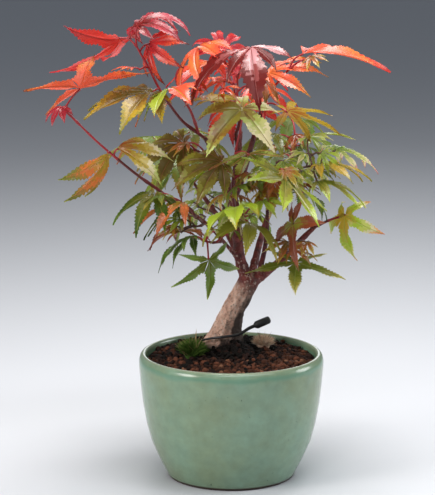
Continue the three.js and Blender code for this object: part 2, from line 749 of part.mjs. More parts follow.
// Anchor wire: out of the soil on the left, round the front of the trunk's foot and up to the right
const wirePath = vectors(WIRE_ROUTE);
const wire = solid(limbGeometry(wirePath, WIRE_RADIUS, WIRE_RADIUS, 6, 14));
addMesh('anchor_wire', mainPiece(wire.subtract(soilRoom).subtract(trunkRoom)), material(WIRE, 0.5));
addMesh('wire_sleeve', buildSleeve(wirePath), material(WIRE, 0.55));

const grown = { trunk: trunkRoom };
for (const [name, bough] of Object.entries(BOUGHS)) {
  const path = vectors(bough.path);
  const [thick, thin] = bough.radii;
  let body = solid(limbGeometry(path, thick, thin, LIMB_SIDES, LIMB_STEPS));
  for (const parent of bough.from) body = body.subtract(grown[parent]);
  addMesh(name, mainPiece(body), material(name.includes('limb') || name === 'leader' ? BARK : SHOOT, 0.7));
  grown[name] = solid(limbGeometry(path, thick, thin, LIMB_SIDES, LIMB_STEPS, GAP));
}

const placed = [];
for (const [name, spray] of Object.entries(SPRAYS)) {
  const body = buildSpray(spray, grown, placed);
  placed.push(body);
  addMesh(name, body, material(LEAF_COLOURS[spray.colour], 0.6));
}

export default group;
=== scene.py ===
# A small Japanese maple in a round glazed pot.
# Metres, +Z up; the origin is the middle of the pot's flat underside and the front faces -Y.
import math
import random

import bmesh
import bpy
import numpy as np
from mathutils import Matrix, Vector, noise
from mathutils.kdtree import KDTree


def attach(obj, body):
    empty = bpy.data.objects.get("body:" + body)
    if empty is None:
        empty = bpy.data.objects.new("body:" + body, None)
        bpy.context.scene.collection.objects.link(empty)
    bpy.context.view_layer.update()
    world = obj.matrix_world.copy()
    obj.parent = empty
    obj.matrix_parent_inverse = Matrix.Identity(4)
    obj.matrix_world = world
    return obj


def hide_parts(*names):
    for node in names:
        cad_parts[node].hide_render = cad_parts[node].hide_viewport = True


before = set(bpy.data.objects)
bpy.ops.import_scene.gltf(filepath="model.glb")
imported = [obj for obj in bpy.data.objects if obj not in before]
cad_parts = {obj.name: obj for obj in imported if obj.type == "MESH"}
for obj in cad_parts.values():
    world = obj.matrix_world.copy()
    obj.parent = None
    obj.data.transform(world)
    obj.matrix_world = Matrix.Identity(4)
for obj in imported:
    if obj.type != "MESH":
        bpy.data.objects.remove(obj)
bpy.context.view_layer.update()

# Pot
# A thrown stoneware bowl with a celadon glaze, fired upright, so the glaze has run thin on the lip
# and stops short of the foot. The foot is wiped bare and shows the dark clay.
MM = 0.001
POT_OUTSIDE = [  # radius and height, from the middle of the foot up
    (0, 0), (31.2, 0), (32, 0.8), (33.2, 3.4), (35.2, 7.2), (37.4, 12), (40.1, 18.4), (42.4, 27.2),
    (44.2, 37.6), (45.3, 47.9), (45.95, 55.6), (46, 58.8), (45.5, 60.9), (44.6, 62.1),
]
POT_LIP = [(43.7, 62.5), (42.8, 62.1), (42.3, 61)]
POT_INSIDE = [(42.3, 52), (39.5, 32), (34.2, 15), (27.5, 6), (0, 6)]
POT_HEIGHT = 62.5 * MM
POT_SPIN_STEPS = 96
DRAIN_HOLE_RADIUS = 4.5 * MM
DRAIN_HOLE_OFFSET = 15 * MM
DRAIN_HOLE_CUT = 30 * MM
GLAZE_TURQUOISE = (0.205, 0.335, 0.240)
GLAZE_OLIVE = (0.200, 0.270, 0.160)
GLAZE_POOL = (0.125, 0.265, 0.180)
GLAZE_THIN = (0.330, 0.340, 0.235)
GLAZE_SPECK = (0.035, 0.055, 0.035)
BARE_CLAY = (0.045, 0.024, 0.017)


def new_material(name):
    material = bpy.data.materials.new(name)
    material.use_nodes = True
    return material, material.node_tree, material.node_tree.nodes["Principled BSDF"]


def put(tree, value, socket):
    """A number or a plain colour is set on the socket itself; a node's output is linked to it."""
    if isinstance(value, bpy.types.NodeSocket):
        tree.links.new(value, socket)
    else:
        socket.default_value = (*value, 1) if socket.type == "RGBA" else value


def feed(tree, node, **values):
    """Values for a node's sockets by name, where From_Min stands for the socket From Min."""
    for key, value in values.items():
        put(tree, value, node.inputs[key.replace("_", " ")])


def add_node(tree, kind, **values):
    node = tree.nodes.new(kind)
    feed(tree, node, **values)
    return node


def noise_on(tree, scale, detail=3.0, roughness=0.5, upright=1.0):
    """Noise in the object's own space; upright under 1 draws it out along Z."""
    place = add_node(tree, "ShaderNodeTexCoord").outputs["Object"]
    stretch = add_node(tree, "ShaderNodeMapping", Vector=place, Scale=(1, 1, upright))
    texture = add_node(tree, "ShaderNodeTexNoise", Vector=stretch.outputs["Vector"],
                       Scale=scale, Detail=detail, Roughness=roughness)
    return texture.outputs["Fac"]


def height_share(tree, top):
    """0 at the ground and 1 at the top."""
    place = add_node(tree, "ShaderNodeTexCoord").outputs["Object"]
    height = add_node(tree, "ShaderNodeSeparateXYZ", Vector=place).outputs["Z"]
    return add_node(tree, "ShaderNodeMapRange", Value=height, From_Max=top).outputs["Result"]


def ramp_of(tree, source, *stops):
    """A colour ramp through stops of position and colour, or position and shade of grey."""
    ramp = add_node(tree, "ShaderNodeValToRGB", Fac=source)
    elements = ramp.color_ramp.elements
    while len(elements) < len(stops):
        elements.new(0.5)
    for element, (position, colour) in zip(elements, stops):
        element.position = position
        element.color = (*(colour if isinstance(colour, tuple) else [colour] * 3), 1)
    return ramp.outputs["Color"]


def mix_of(tree, share, first, second, blend_type="MIX"):
    mix = add_node(tree, "ShaderNodeMix")
    mix.data_type = "RGBA"
    mix.blend_type = blend_type
    for value, index in ((share, 0), (first, 6), (second, 7)):
        put(tree, value, mix.inputs[index])
    return mix.outputs[2]


def math_of(tree, operation, *values):
    step = add_node(tree, "ShaderNodeMath")
    step.operation = operation
    for value, socket in zip(values, step.inputs):
        put(tree, value, socket)
    return step.outputs[0]


def bump_on(tree, shader, height, strength, distance):
    bump = add_node(tree, "ShaderNodeBump", Height=height, Strength=strength, Distance=distance)
    feed(tree, shader, Normal=bump.outputs["Normal"])


def celadon_glaze():
    material, tree, shader = new_material("celadon_glaze")
    cloud = ramp_of(tree, noise_on(tree, 26, 5, 0.62), (0.38, 0.0), (0.70, 1.0))
    mottle = ramp_of(tree, noise_on(tree, 170, 4, 0.6), (0.30, 0.88), (0.70, 1.08))
    body = mix_of(tree, 1.0, mix_of(tree, cloud, GLAZE_OLIVE, GLAZE_TURQUOISE), mottle, "MULTIPLY")
    # The glaze gathers in a wavering darker band just under the lip
    height = height_share(tree, POT_HEIGHT)
    waver = math_of(tree, "MULTIPLY_ADD", noise_on(tree, 55, 3, 0.6), 0.07, height)
    pool = ramp_of(tree, waver, (0.945, 0.0), (0.975, 0.75), (1.015, 0.35), (1.04, 0.0))
    specks = ramp_of(tree, noise_on(tree, 560, 2, 0.5), (0.73, 0.0), (0.78, 0.8))
    lip = ramp_of(tree, height, (0.985, 0.0), (0.999, 0.6))
    foot = ramp_of(tree, height, (0.018, 1.0), (0.028, 0.0))
    for share, colour in ((pool, GLAZE_POOL), (specks, GLAZE_SPECK), (lip, GLAZE_THIN), (foot, BARE_CLAY)):
        body = mix_of(tree, share, body, colour)
    gloss = ramp_of(tree, waver, (0.05, 0.75), (0.07, 0.17), (0.96, 0.17), (1.0, 0.20))
    feed(tree, shader, Base_Color=body, Roughness=gloss)
    bump_on(tree, shader, noise_on(tree, 90, 3, 0.5), 0.06, 0.002)
    return material


def mesh_from(name, bm, smooth=True):
    mesh = bpy.data.meshes.new(name)
    bm.to_mesh(mesh)
    bm.free()
    mesh.polygons.foreach_set("use_smooth", [smooth] * len(mesh.polygons))
    return mesh


def new_object(name, data):
    item = bpy.data.objects.new(name, data)
    bpy.context.collection.objects.link(item)
    return item


def settled(holder):
    """The mesh that an object's curve or modifiers make; the object itself goes."""
    mesh = bpy.data.meshes.new_from_object(holder.evaluated_get(bpy.context.evaluated_depsgraph_get()))
    bpy.data.objects.remove(holder)
    return mesh


def add_piece(name, mesh, materials, slot_name, *nodes):
    """A finished piece of the plant or its pot, which stands for the CAD nodes named."""
    mesh.name = name
    for material in materials:
        mesh.materials.append(material)
    piece = new_object(name, mesh)
    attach(piece, "root")
    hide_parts(*nodes)


def spun(profile, steps):
    """A half section, as radius and height in mm, turned once round the Z axis."""
    bm = bmesh.new()
    corners = [bm.verts.new((radius * MM, 0, height * MM)) for radius, height in profile]
    edges = [bm.edges.new(pair) for pair in zip(corners, corners[1:])]
    bmesh.ops.spin(
        bm, geom=corners + edges, cent=(0, 0, 0), axis=(0, 0, 1), dvec=(0, 0, 0),
        angle=2 * math.pi, steps=steps, use_merge=True, use_duplicate=False,
    )
    bmesh.ops.remove_doubles(bm, verts=bm.verts, dist=1e-6)
    bmesh.ops.recalc_face_normals(bm, faces=bm.faces)
    return bm


def build_pot():
    pot = mesh_from("bowl", spun(POT_OUTSIDE + POT_LIP + POT_INSIDE, POT_SPIN_STEPS))
    for side in (-1, 1):
        hole = bmesh.new()
        bmesh.ops.create_cone(
            hole, cap_ends=True, segments=32, radius1=DRAIN_HOLE_RADIUS, radius2=DRAIN_HOLE_RADIUS,
            depth=DRAIN_HOLE_CUT, matrix=Matrix.Translation((side * DRAIN_HOLE_OFFSET, 0, 0)),
        )
        cutter = new_object("drain_hole", mesh_from("drain_hole", hole, smooth=False))
        bowl = new_object("bowl", pot)
        cut = bowl.modifiers.new("drain_hole", "BOOLEAN")
        cut.object = cutter
        cut.solver = "EXACT"
        pot = settled(bowl)
        bpy.data.objects.remove(cutter)
    add_piece("pot_glazed", pot, [celadon_glaze()], "pot_glaze", "pot")


build_pot()

# Soil
# Red-brown fired clay grit, sieved to one to three millimetres, over a dark damp bed.
# It rises a little to the trunk, where black damp crumbs are heaped, and is driest at the front right.
TRUNK_FOOT = Vector((-4, 17, 62.2))
SOIL_EDGE_HEIGHT = 57.6
SOIL_BACK_RISE = 2.8
SOIL_MOUND = 3.6
SOIL_MOUND_REACH = 15
SOIL_RADIUS = 42.0
BED_WALL = [(0, 6.3), (27, 6.3), (33.7, 15.5), (39, 32.5), (42, 52.5), (42, 56.6)]
BED_RINGS = (40, 36, 31, 26, 21, 16, 11, 6, 0)
BED_TOP_ABOVE = 56.5
BED_SPIN_STEPS = 48
BED_UNDER_GRAINS = 0.9
DAMP_BED = (0.022, 0.012, 0.009)
GRAIN_SHAPES = 40
GRAIN_SPACING = 2.4
ROW_SHARE = 0.87
GRAIN_SIZES = (1.0, 1.7)
GRAINS_FROM_TRUNK = 8
CRUMBS = 420
CRUMB_SIZES = (0.7, 1.35)
HEAP_MIDDLE = (2.0, 8.0)
HEAP_HEIGHT = 4.2
HEAP_REACH = 4.6
GRAIN_PAINTS = {  # from damp to dry
    "grain_black": (0.005, 0.003, 0.002),
    "grain_dark": (0.022, 0.008, 0.005),
    "grain_brown": (0.064, 0.022, 0.011),
    "grain_red": (0.140, 0.047, 0.024),
    "grain_tan": (0.240, 0.108, 0.060),
}


def from_trunk(x, y):
    return math.hypot(x - TRUNK_FOOT.x, y - TRUNK_FOOT.y)


def soil_height(x, y):
    slope = SOIL_BACK_RISE * (0.5 + 0.5 * y / SOIL_RADIUS)
    mound = SOIL_MOUND * math.exp(-0.5 * (from_trunk(x, y) / SOIL_MOUND_REACH) ** 2)
    return SOIL_EDGE_HEIGHT + slope + mound


def matt_paint(name, colour, roughness=0.85, spread=0.3, scale=900, bump=0.4):
    material, tree, shader = new_material(name)
    darker, lighter = (tuple(part * (1 + change) for part in colour) for change in (-spread, spread))
    cloud = noise_on(tree, scale, 3, 0.6)
    feed(tree, shader, Base_Color=mix_of(tree, cloud, darker, lighter), Roughness=roughness,
         Specular_IOR_Level=0.2)
    bump_on(tree, shader, cloud, bump, 0.0006)
    return material


def build_soil_bed():
    edge = SOIL_EDGE_HEIGHT - BED_UNDER_GRAINS
    bm = spun(BED_WALL + [(radius, edge) for radius in BED_RINGS], BED_SPIN_STEPS)
    for corner in bm.verts:
        if corner.co.z > BED_TOP_ABOVE * MM:
            corner.co.z = (soil_height(corner.co.x / MM, corner.co.y / MM) - BED_UNDER_GRAINS) * MM
    add_piece("soil_bed", mesh_from("soil_bed", bm), [matt_paint("damp_bed", DAMP_BED, 0.95)], "soil", "soil")


def grain_shapes(chance, count):
    """Lumpy unit grains that every grain in the pot is a turned and scaled copy of."""
    shapes = []
    for _ in range(count):
        bm = bmesh.new()
        bmesh.ops.create_icosphere(bm, subdivisions=2, radius=1)
        offset = Vector((chance.random(), chance.random(), chance.random())) * 50
        for corner in bm.verts:
            lumps = 0.34 * noise.noise(corner.co * 1.3 + offset)
            corner.co *= 1 + lumps + 0.12 * noise.noise(corner.co * 3 + offset)
        bm.verts.ensure_lookup_table()
        shapes.append((np.array([corner.co[:] for corner in bm.verts]),
                       np.array([[corner.index for corner in face.verts] for face in bm.faces])))
        bm.free()
    return shapes


def joined_copies(name, copies):
    """One mesh from many (corners, triangles, paint) copies."""
    counts = np.cumsum([0] + [len(corners) for corners, _, _ in copies])
    corners = np.concatenate([corners for corners, _, _ in copies])
    triangles = np.concatenate([faces + start for (_, faces, _), start in zip(copies, counts)])
    paints = np.concatenate([np.full(len(faces), paint) for _, faces, paint in copies])
    mesh = bpy.data.meshes.new(name)
    mesh.vertices.add(len(corners))
    mesh.vertices.foreach_set("co", corners.ravel())
    mesh.loops.add(triangles.size)
    mesh.loops.foreach_set("vertex_index", triangles.ravel())
    mesh.polygons.add(len(triangles))
    mesh.polygons.foreach_set("loop_start", np.arange(0, triangles.size, 3))
    mesh.polygons.foreach_set("material_index", paints)
    mesh.update(calc_edges=True)
    return mesh


def spread_grains(chance, shapes):
    """Grains in close rows over the whole bed, paler the drier they lie."""
    grains = []
    rows = int(2 * SOIL_RADIUS / (GRAIN_SPACING * ROW_SHARE)) + 1
    for row in range(rows):
        for column in range(rows + 4):
            x = -SOIL_RADIUS + (column + 0.5 * (row % 2)) * GRAIN_SPACING + chance.uniform(-0.5, 0.5)
            y = -SOIL_RADIUS + row * GRAIN_SPACING * ROW_SHARE + chance.uniform(-0.5, 0.5)
            size = chance.uniform(*GRAIN_SIZES) * (1.25 if chance.random() < 0.12 else 1)
            away = from_trunk(x, y)
            if math.hypot(x, y) > SOIL_RADIUS - size * 0.8 or away < GRAINS_FROM_TRUNK:
                continue
            height = soil_height(x, y) - BED_UNDER_GRAINS + chance.uniform(-0.5, 0.7)
            turn = Matrix.Rotation(chance.uniform(0, 6.28), 3, Vector((
                chance.uniform(-1, 1), chance.uniform(-1, 1), chance.uniform(-1, 1))))
            stretch = np.array((1, chance.uniform(0.7, 1), chance.uniform(0.5, 0.8)))
            corners, faces = chance.choice(shapes)
            corners = (corners * stretch) @ np.array(turn).T * size + (x, y, height)
            dryness = 0.42 + 0.25 * (0.3 * x - y) / 60
            dryness -= 0.7 * math.exp(-((away - GRAINS_FROM_TRUNK) / 12) ** 2)
            dryness += 0.15 * noise.noise(Vector((x, y, 0)) / 9) + chance.gauss(0, 0.17)
            paint = max(0, min(len(GRAIN_PAINTS) - 1, int(dryness * len(GRAIN_PAINTS))))
            grains.append((corners * MM, faces, paint))
    return grains


def heaped_crumbs(chance, shapes):
    """The black crumbs heaped round the front of the trunk's foot."""
    crumbs = []
    for _ in range(CRUMBS):
        x, y = (chance.gauss(middle, HEAP_REACH) for middle in HEAP_MIDDLE)
        away = math.hypot(x - HEAP_MIDDLE[0], y - HEAP_MIDDLE[1]) / HEAP_REACH
        if away > 2 or from_trunk(x, y) < 6:
            continue
        heap = HEAP_HEIGHT * math.exp(-0.5 * away ** 2) * chance.uniform(0.35, 1)
        corners, faces = chance.choice(shapes)
        corners = corners * chance.uniform(*CRUMB_SIZES) + (x, y, soil_height(x, y) - 0.6 + heap)
        crumbs.append((corners * MM, faces, 0 if chance.random() < 0.8 else 1))
    return crumbs


def build_grains():
    chance = random.Random(4)
    shapes = grain_shapes(chance, GRAIN_SHAPES)
    copies = spread_grains(chance, shapes) + heaped_crumbs(chance, shapes)
    paints = [matt_paint(name, colour, 0.8, 0.35, 1400, 0.5) for name, colour in GRAIN_PAINTS.items()]
    add_piece("soil_grains", joined_copies("soil_grains", copies), paints, "soil", "soil")


build_soil_bed()
build_grains()

# Moss
# A live green tuft at the front left of the trunk and a pale dried clump behind it on the right,
# each a low cushion of short blades rooted in the grit, with a few straw-coloured stems.
LIVE_MOSS = [(0.045, 0.090, 0.014), (0.095, 0.175, 0.028), (0.190, 0.290, 0.055), (0.50, 0.34, 0.17)]
DRIED_MOSS = [(0.66, 0.45, 0.32), (0.86, 0.67, 0.51), (0.95, 0.84, 0.70), (0.16, 0.10, 0.06)]
CUSHION_SHARE = 0.72
ROOT_SHARE = 0.7
BLADE_HALF_WIDTH = 0.10 * MM
STRAW_HALF_WIDTH = 0.13 * MM
STRAW_STRETCH = 1.7


def build_tuft(name, node, slot_name, centre, half, blades, length, spread, straws, colours):
    """Blades in the first three colours and straws in the last, round a cushion of half size."""
    chance = random.Random(len(name))
    bm = bmesh.new()
    middle = Vector(centre) * MM
    cushion = bmesh.ops.create_icosphere(
        bm, subdivisions=3, radius=1,
        matrix=Matrix.Translation(middle) @ Matrix.Diagonal((*(h * MM * CUSHION_SHARE for h in half), 1)),
    )
    for corner in cushion["verts"]:
        corner.co += (corner.co - middle) * 0.25 * noise.noise(corner.co * 450)
    for number in range(blades + straws):
        straw = number >= blades
        angle = chance.uniform(0, 2 * math.pi)
        share = math.sqrt(chance.random())
        rise = math.sqrt(max(0.0, 1 - share * share))
        out = Vector((share * math.cos(angle), share * math.sin(angle), rise))
        root = middle + Vector([out[k] * half[k] * MM * ROOT_SHARE for k in range(3)])
        lean = Vector((chance.gauss(0, 0.45), chance.gauss(0, 0.45), chance.uniform(0.3, 1.0)))
        aim = (out * spread + lean).normalized()
        across = Vector((chance.gauss(0, 1), chance.gauss(0, 1), chance.gauss(0, 1)))
        across = aim.cross(across).normalized()
        reach = length * MM * chance.uniform(0.45, 1.1) * (STRAW_STRETCH if straw else 1)
        width = across * (STRAW_HALF_WIDTH if straw else BLADE_HALF_WIDTH)
        bow = Vector((out.x, out.y, 0)) * reach * chance.uniform(0.05, 0.3)
        points = [root - width, root + width, root + aim * reach * 0.55 + width * 0.9,
                  root + aim * reach + bow, root + aim * reach * 0.55 - width * 0.9]
        face = bm.faces.new([bm.verts.new(point) for point in points])
        face.material_index = 3 if straw else chance.choice((0, 1, 1, 2))
    paints = [matt_paint(f"{name}_{index}", colour, 0.8, 0.2, 1500, 0.2)
              for index, colour in enumerate(colours)]
    add_piece(name, mesh_from(name, bm, smooth=False), paints, slot_name, node)


build_tuft("moss_blades", "moss_tuft", "moss", centre=(-19.3, 1.5, 60.2), half=(5.8, 5, 5.4),
           blades=2900, length=5.6, spread=0.5, straws=44, colours=LIVE_MOSS)
build_tuft("dry_moss_blades", "dry_moss", "dry_moss", centre=(16.4, 17, 61.6), half=(4.6, 3.2, 2.7),
           blades=2200, length=4.2, spread=0.7, straws=30, colours=DRIED_MOSS)

# Anchor wire
# Black plastic-coated wire that comes out of the grit on the left, passes round the front of the
# trunk's foot to hold it down, and ends on the right in a short moulded sleeve.
WIRE_ROUTE = [(-16.4, 11.8, 60), (-15.2, 11.2, 65), (-10.8, 8.2, 67.2), (-3.6, 5.4, 68.8), (3.5, 6.2, 69.8),
              (9.2, 8.8, 72.5), (12.2, 9.5, 73.7)]
WIRE_STEPS = 60
WIRE_RADII = (0.45, 0.95)
SLEEVE = [  # place past the wire's end, radius
    (-0.6, 1.1), (0.2, 1.7), (0.6, 1.98), (5, 1.98), (7.2, 1.9), (7.8, 1.6), (8.1, 0.9), (8.2, 0.1),
]
BLACK_PLASTIC = (0.012, 0.012, 0.013)


def smooth_path(points, steps):
    """Points along a centripetal Catmull-Rom curve, evenly spaced by length."""
    knots = [Vector(point) for point in points]
    knots = [2 * knots[0] - knots[1]] + knots + [2 * knots[-1] - knots[-2]]
    dense = []
    for a, b, c, d in zip(knots, knots[1:], knots[2:], knots[3:]):
        t1 = (b - a).length ** 0.5
        t2 = t1 + (c - b).length ** 0.5
        t3 = t2 + (d - c).length ** 0.5
        for i in range(16):
            t = t1 + (t2 - t1) * i / 16
            ab = a.lerp(b, t / t1)
            bc = b.lerp(c, (t - t1) / (t2 - t1))
            cd = c.lerp(d, (t - t2) / (t3 - t2))
            dense.append(ab.lerp(bc, t / t2).lerp(bc.lerp(cd, (t - t1) / (t3 - t1)), (t - t1) / (t2 - t1)))
    dense.append(knots[-2])
    lengths = np.cumsum([0] + [(q - p).length for p, q in zip(dense, dense[1:])])
    wanted = np.linspace(0, lengths[-1], steps + 1)
    columns = [np.interp(wanted, lengths, [p[k] for p in dense]) for k in range(3)]
    return [Vector(point) for point in zip(*columns)]


def tubes(name, routes, sides=8, materials=()):
    """One mesh of round tapering tubes; each route is (points, radii, material index)."""
    curve = bpy.data.curves.new(name, "CURVE")
    for material in materials:
        curve.materials.append(material)
    curve.dimensions = "3D"
    curve.bevel_depth = 1.0
    curve.bevel_resolution = max(0, sides // 4 - 1)
    curve.use_fill_caps = True
    for points, radii, index in routes:
        spline = curve.splines.new("POLY")
        spline.points.add(len(points) - 1)
        for knot, point, radius in zip(spline.points, points, radii):
            knot.co = (*(Vector(point) * MM), 1)
            knot.radius = radius * MM
        spline.material_index = index
    mesh = settled(new_object(name, curve))
    mesh.polygons.foreach_set("use_smooth", [True] * len(mesh.polygons))
    return mesh


def coated_black(name, roughness):
    material, tree, shader = new_material(name)
    gloss = ramp_of(tree, noise_on(tree, 700, 3), (0.3, roughness - 0.1), (0.7, roughness + 0.1))
    feed(tree, shader, Base_Color=BLACK_PLASTIC, Roughness=gloss)
    bump_on(tree, shader, noise_on(tree, 900, 2), 0.08, 0.0004)
    return material


def build_wire():
    path = smooth_path(WIRE_ROUTE, WIRE_STEPS)
    aim = (path[-1] - path[-2]).normalized()
    wire = tubes("anchor_wire_bent", [(path, np.linspace(*WIRE_RADII, WIRE_STEPS + 1), 0)], 12)
    add_piece("anchor_wire_bent", wire, [coated_black("wire_coating", 0.4)], "wire", "anchor_wire")
    places = [path[-1] + aim * along for along, _ in SLEEVE]
    sleeve = tubes("wire_sleeve_moulded", [(places, [radius for _, radius in SLEEVE], 0)], 16)
    add_piece("wire_sleeve_moulded", sleeve, [coated_black("sleeve_rubber", 0.5)], "sleeve", "wire_sleeve")


build_wire()

# Trunk and boughs
# Living wood, grown as one: pale grey-tan bark on the old trunk with shallow cracks and pits, redder
# and smoother on the boughs, almost crimson on this year's shoots. Roots flare into the grit.
TRUNK_PATH = [(-5.2, 17.6, 56.2), (-3.3, 17, 64), (-0.7, 16, 75), (1.3, 15.2, 81), (5.2, 13.8, 88.5),
              (8.5, 12.8, 95), (9.6, 12.2, 99)]
TRUNK_STEPS = 40
TRUNK_RADII = (7.4, 4.9)
ROOTS = [  # heading in degrees, spread, thickness
    (200, 9, 3.0), (258, 8, 3.2), (318, 8.5, 3.0), (15, 8, 3.0), (75, 8, 3), (140, 8.5, 3.0),
]
ROOT_STEPS = 10
KNOTS = [  # middle, radius
    ((-9.4, 10.2, 70.2), 1.5), ((-1.5, 9.2, 80.5), 1.2), ((3.5, 7.6, 91.5), 1.8), ((5.6, 21, 84), 1.6),
]
BOUGHS = {  # radius at its foot and tip, age of its bark from 0 (trunk) to 1 (new shoot), path
    "leader": (3, 2.3, 0.6, [(8.4, 12.3, 96.5), (5.4, 11.2, 104), (3.7, 9.7, 112), (3.2, 8.8, 120),
        (2.3, 8, 130), (1, 7, 138.5), (0.6, 7, 142)]),
    "right_limb": (2.5, 1.2, 0.55, [(9, 12.4, 93.5), (15.5, 12.6, 98.6), (25.5, 13, 107), (35.4, 13, 117.2),
        (42, 12, 124)]),
    "left_shoot": (1.15, 0.75, 0.5, [(5.2, 10.8, 105), (1, 6, 111.5), (-3, 2, 117), (-13, -3, 128.5),
        (-24, -6, 137), (-36, -9, 146)]),
    "inner_limb": (1.5, 1.0, 0.9, [(13.4, 12.5, 97.5), (16.9, 14, 112.5), (17.9, 15, 121.4),
        (18.6, 16, 134), (20.6, 16, 140)]),
    "left_fork": (2.1, 1.2, 0.9, [(0.8, 7, 139.5), (-1.2, 6.4, 143.5), (-3.4, 5.5, 150), (-9, 4, 162),
        (-13, 3, 170)]),
    "right_fork": (1.8, 1.2, 0.9, [(0.9, 7, 139.5), (3, 7.6, 143), (5, 8.3, 148.5), (7.4, 9, 156),
        (10, 10, 165), (15, 12, 182)]),
    "centre_shoot": (1.4, 1.1, 0.95, [(5.2, 8.5, 149), (3.6, 9.5, 156), (3, 8.5, 165), (2, 8, 172)]),
    "back_limb_left": (2.0, 1.1, 0.6, [(6.4, 12, 101), (1, 21, 113), (-7, 31, 126), (-15, 38, 136)]),
    "back_limb_right": (2.1, 1.1, 0.6, [(9.6, 13, 96.5), (15, 24, 115), (21, 34, 131), (27, 41, 143)]),
    "back_limb_top": (1.6, 1.0, 0.7, [(2, 8.4, 131), (2, 17, 144), (4, 26, 158), (5, 31, 169)]),
}
BOUGH_STEPS = 30
WOOD_VOXEL = 0.42 * MM
OLD_BARK = [(0.30, (0.150, 0.068, 0.048)), (0.40, (0.50, 0.280, 0.205)), (0.54, (0.76, 0.475, 0.355)),
            (0.68, (0.92, 0.72, 0.60))]
LIMB_BARK = [(0.32, (0.055, 0.009, 0.008)), (0.55, (0.190, 0.028, 0.024)), (0.75, (0.32, 0.080, 0.062))]
SHOOT_BARK = [(0.35, (0.065, 0.010, 0.011)), (0.7, (0.19, 0.022, 0.025))]
PALE_FLECK = (0.66, 0.50, 0.42)
# Painted shade: the dark given to the bark on the side away from the left light and near the ground, and the
# dark of the knots' eyes
BARK_SHADE_AND_KNOT_EYES = (0.034, 0.018, 0.013)


def trunk_radius(share):
    flare = 1 + 0.9 * max(0.0, 1 - share / 0.5) ** 1.5
    fork = 1 + 0.1 * max(0.0, share - 0.8) / 0.2
    foot, top = TRUNK_RADII
    return (foot + (top - foot) * share) * flare * fork


def level(heading):
    """The level direction at a heading in radians."""
    return Vector((math.cos(heading), math.sin(heading), 0))


def attribute_of(tree, name):
    reader = add_node(tree, "ShaderNodeAttribute")
    reader.attribute_name = name
    return reader.outputs["Fac"]


def bark_material():
    material, tree, shader = new_material("bark")
    age = attribute_of(tree, "bark_age")
    old = ramp_of(tree, noise_on(tree, 300, 6, 0.75, 0.62), *OLD_BARK)
    limb = ramp_of(tree, noise_on(tree, 260, 4, 0.6), *LIMB_BARK)
    shoot = ramp_of(tree, noise_on(tree, 300, 3, 0.5), *SHOOT_BARK)
    body = mix_of(tree, ramp_of(tree, age, (0.09, 0.0), (0.30, 1.0)), old, limb)
    body = mix_of(tree, ramp_of(tree, age, (0.55, 0.0), (0.85, 1.0)), body, shoot)
    flecks = ramp_of(tree, noise_on(tree, 800, 3, 0.6, 0.7), (0.56, 0.0), (0.62, 0.8))
    fading = ramp_of(tree, age, (0.3, 1.0), (0.6, 0.0))
    body = mix_of(tree, math_of(tree, "MULTIPLY", flecks, fading), body, PALE_FLECK)
    pores = ramp_of(tree, noise_on(tree, 700, 3, 0.6), (0.58, 1.0), (0.68, 0.35))
    body = mix_of(tree, 1.0, body, pores, "MULTIPLY")
    # Painted shade: the attribute read here darkens the bark on the side away from the left light and near
    # the ground, and darkens the knots' eyes
    feed(tree, shader, Base_Color=mix_of(tree, attribute_of(tree, "bark_shade_and_knot_eyes"), body, BARK_SHADE_AND_KNOT_EYES),
         Roughness=ramp_of(tree, age, (0.1, 0.75), (0.9, 0.42)))
    bump_on(tree, shader, noise_on(tree, 560, 6, 0.75, 0.6), 0.8, 0.0014)
    return material


def wood_routes():
    """Tubes of the trunk, roots and boughs, and how old the bark is at the points along them."""
    trunk = smooth_path(TRUNK_PATH, TRUNK_STEPS)
    shares = [i / TRUNK_STEPS for i in range(TRUNK_STEPS + 1)]
    routes = [(trunk, [trunk_radius(share) for share in shares], 0)]
    ages = [(point, 0.16 * max(0.0, share - 0.55) / 0.45) for point, share in zip(trunk, shares)]
    for heading, spread, thick in ROOTS:
        out = level(math.radians(heading))
        path = smooth_path([TRUNK_FOOT + out * reach + Vector((aside, 0, lift)) for reach, aside, lift in (
            (2, 1, 10), (4.6, 0, 4), (spread, 0, -1.2), (spread + 3, 0, -4.2))], ROOT_STEPS)
        routes.append((path, np.linspace(thick, thick * 0.55, ROOT_STEPS + 1), 0))
        ages += [(point, 0.0) for point in path]
    for thick, thin, age, path in BOUGHS.values():
        path = smooth_path(path, BOUGH_STEPS)
        radii = np.linspace(thick, thin, BOUGH_STEPS + 1)
        radii[:5] *= np.linspace(1.35, 1.0, 5)
        nodes = [1 + 0.16 * math.exp(-((i % 10 - 5) / 0.9) ** 2) for i in range(BOUGH_STEPS + 1)]
        routes.append((path, radii * nodes, 0))
        ages += [(point, age * min(1.0, 0.55 + i / 20)) for i, point in enumerate(path)]
    return routes, ages


def grown_together(routes):
    """One closed skin over all the tubes, eased where they meet."""
    holder = new_object("wood", tubes("wood", routes, 16))
    remesh = holder.modifiers.new("grown_together", "REMESH")
    remesh.mode = "VOXEL"
    remesh.voxel_size = WOOD_VOXEL
    ease = holder.modifiers.new("eased", "SMOOTH")
    ease.factor = 0.5
    ease.iterations = 7
    return settled(holder)


def ages_at(spots, ages, batch=4000):
    """The bark's age at each spot of the skin, mostly that of the points nearest to it."""
    places = np.array([point for point, _ in ages])
    values = np.array([age for _, age in ages])
    found = np.empty(len(spots))
    for start in range(0, len(spots), batch):
        gaps = ((spots[start:start + batch, None] - places[None]) ** 2).sum(2)
        weights = 1 / (gaps + 0.5) ** 3
        found[start:start + batch] = (weights * values).sum(1) / weights.sum(1)
    return found


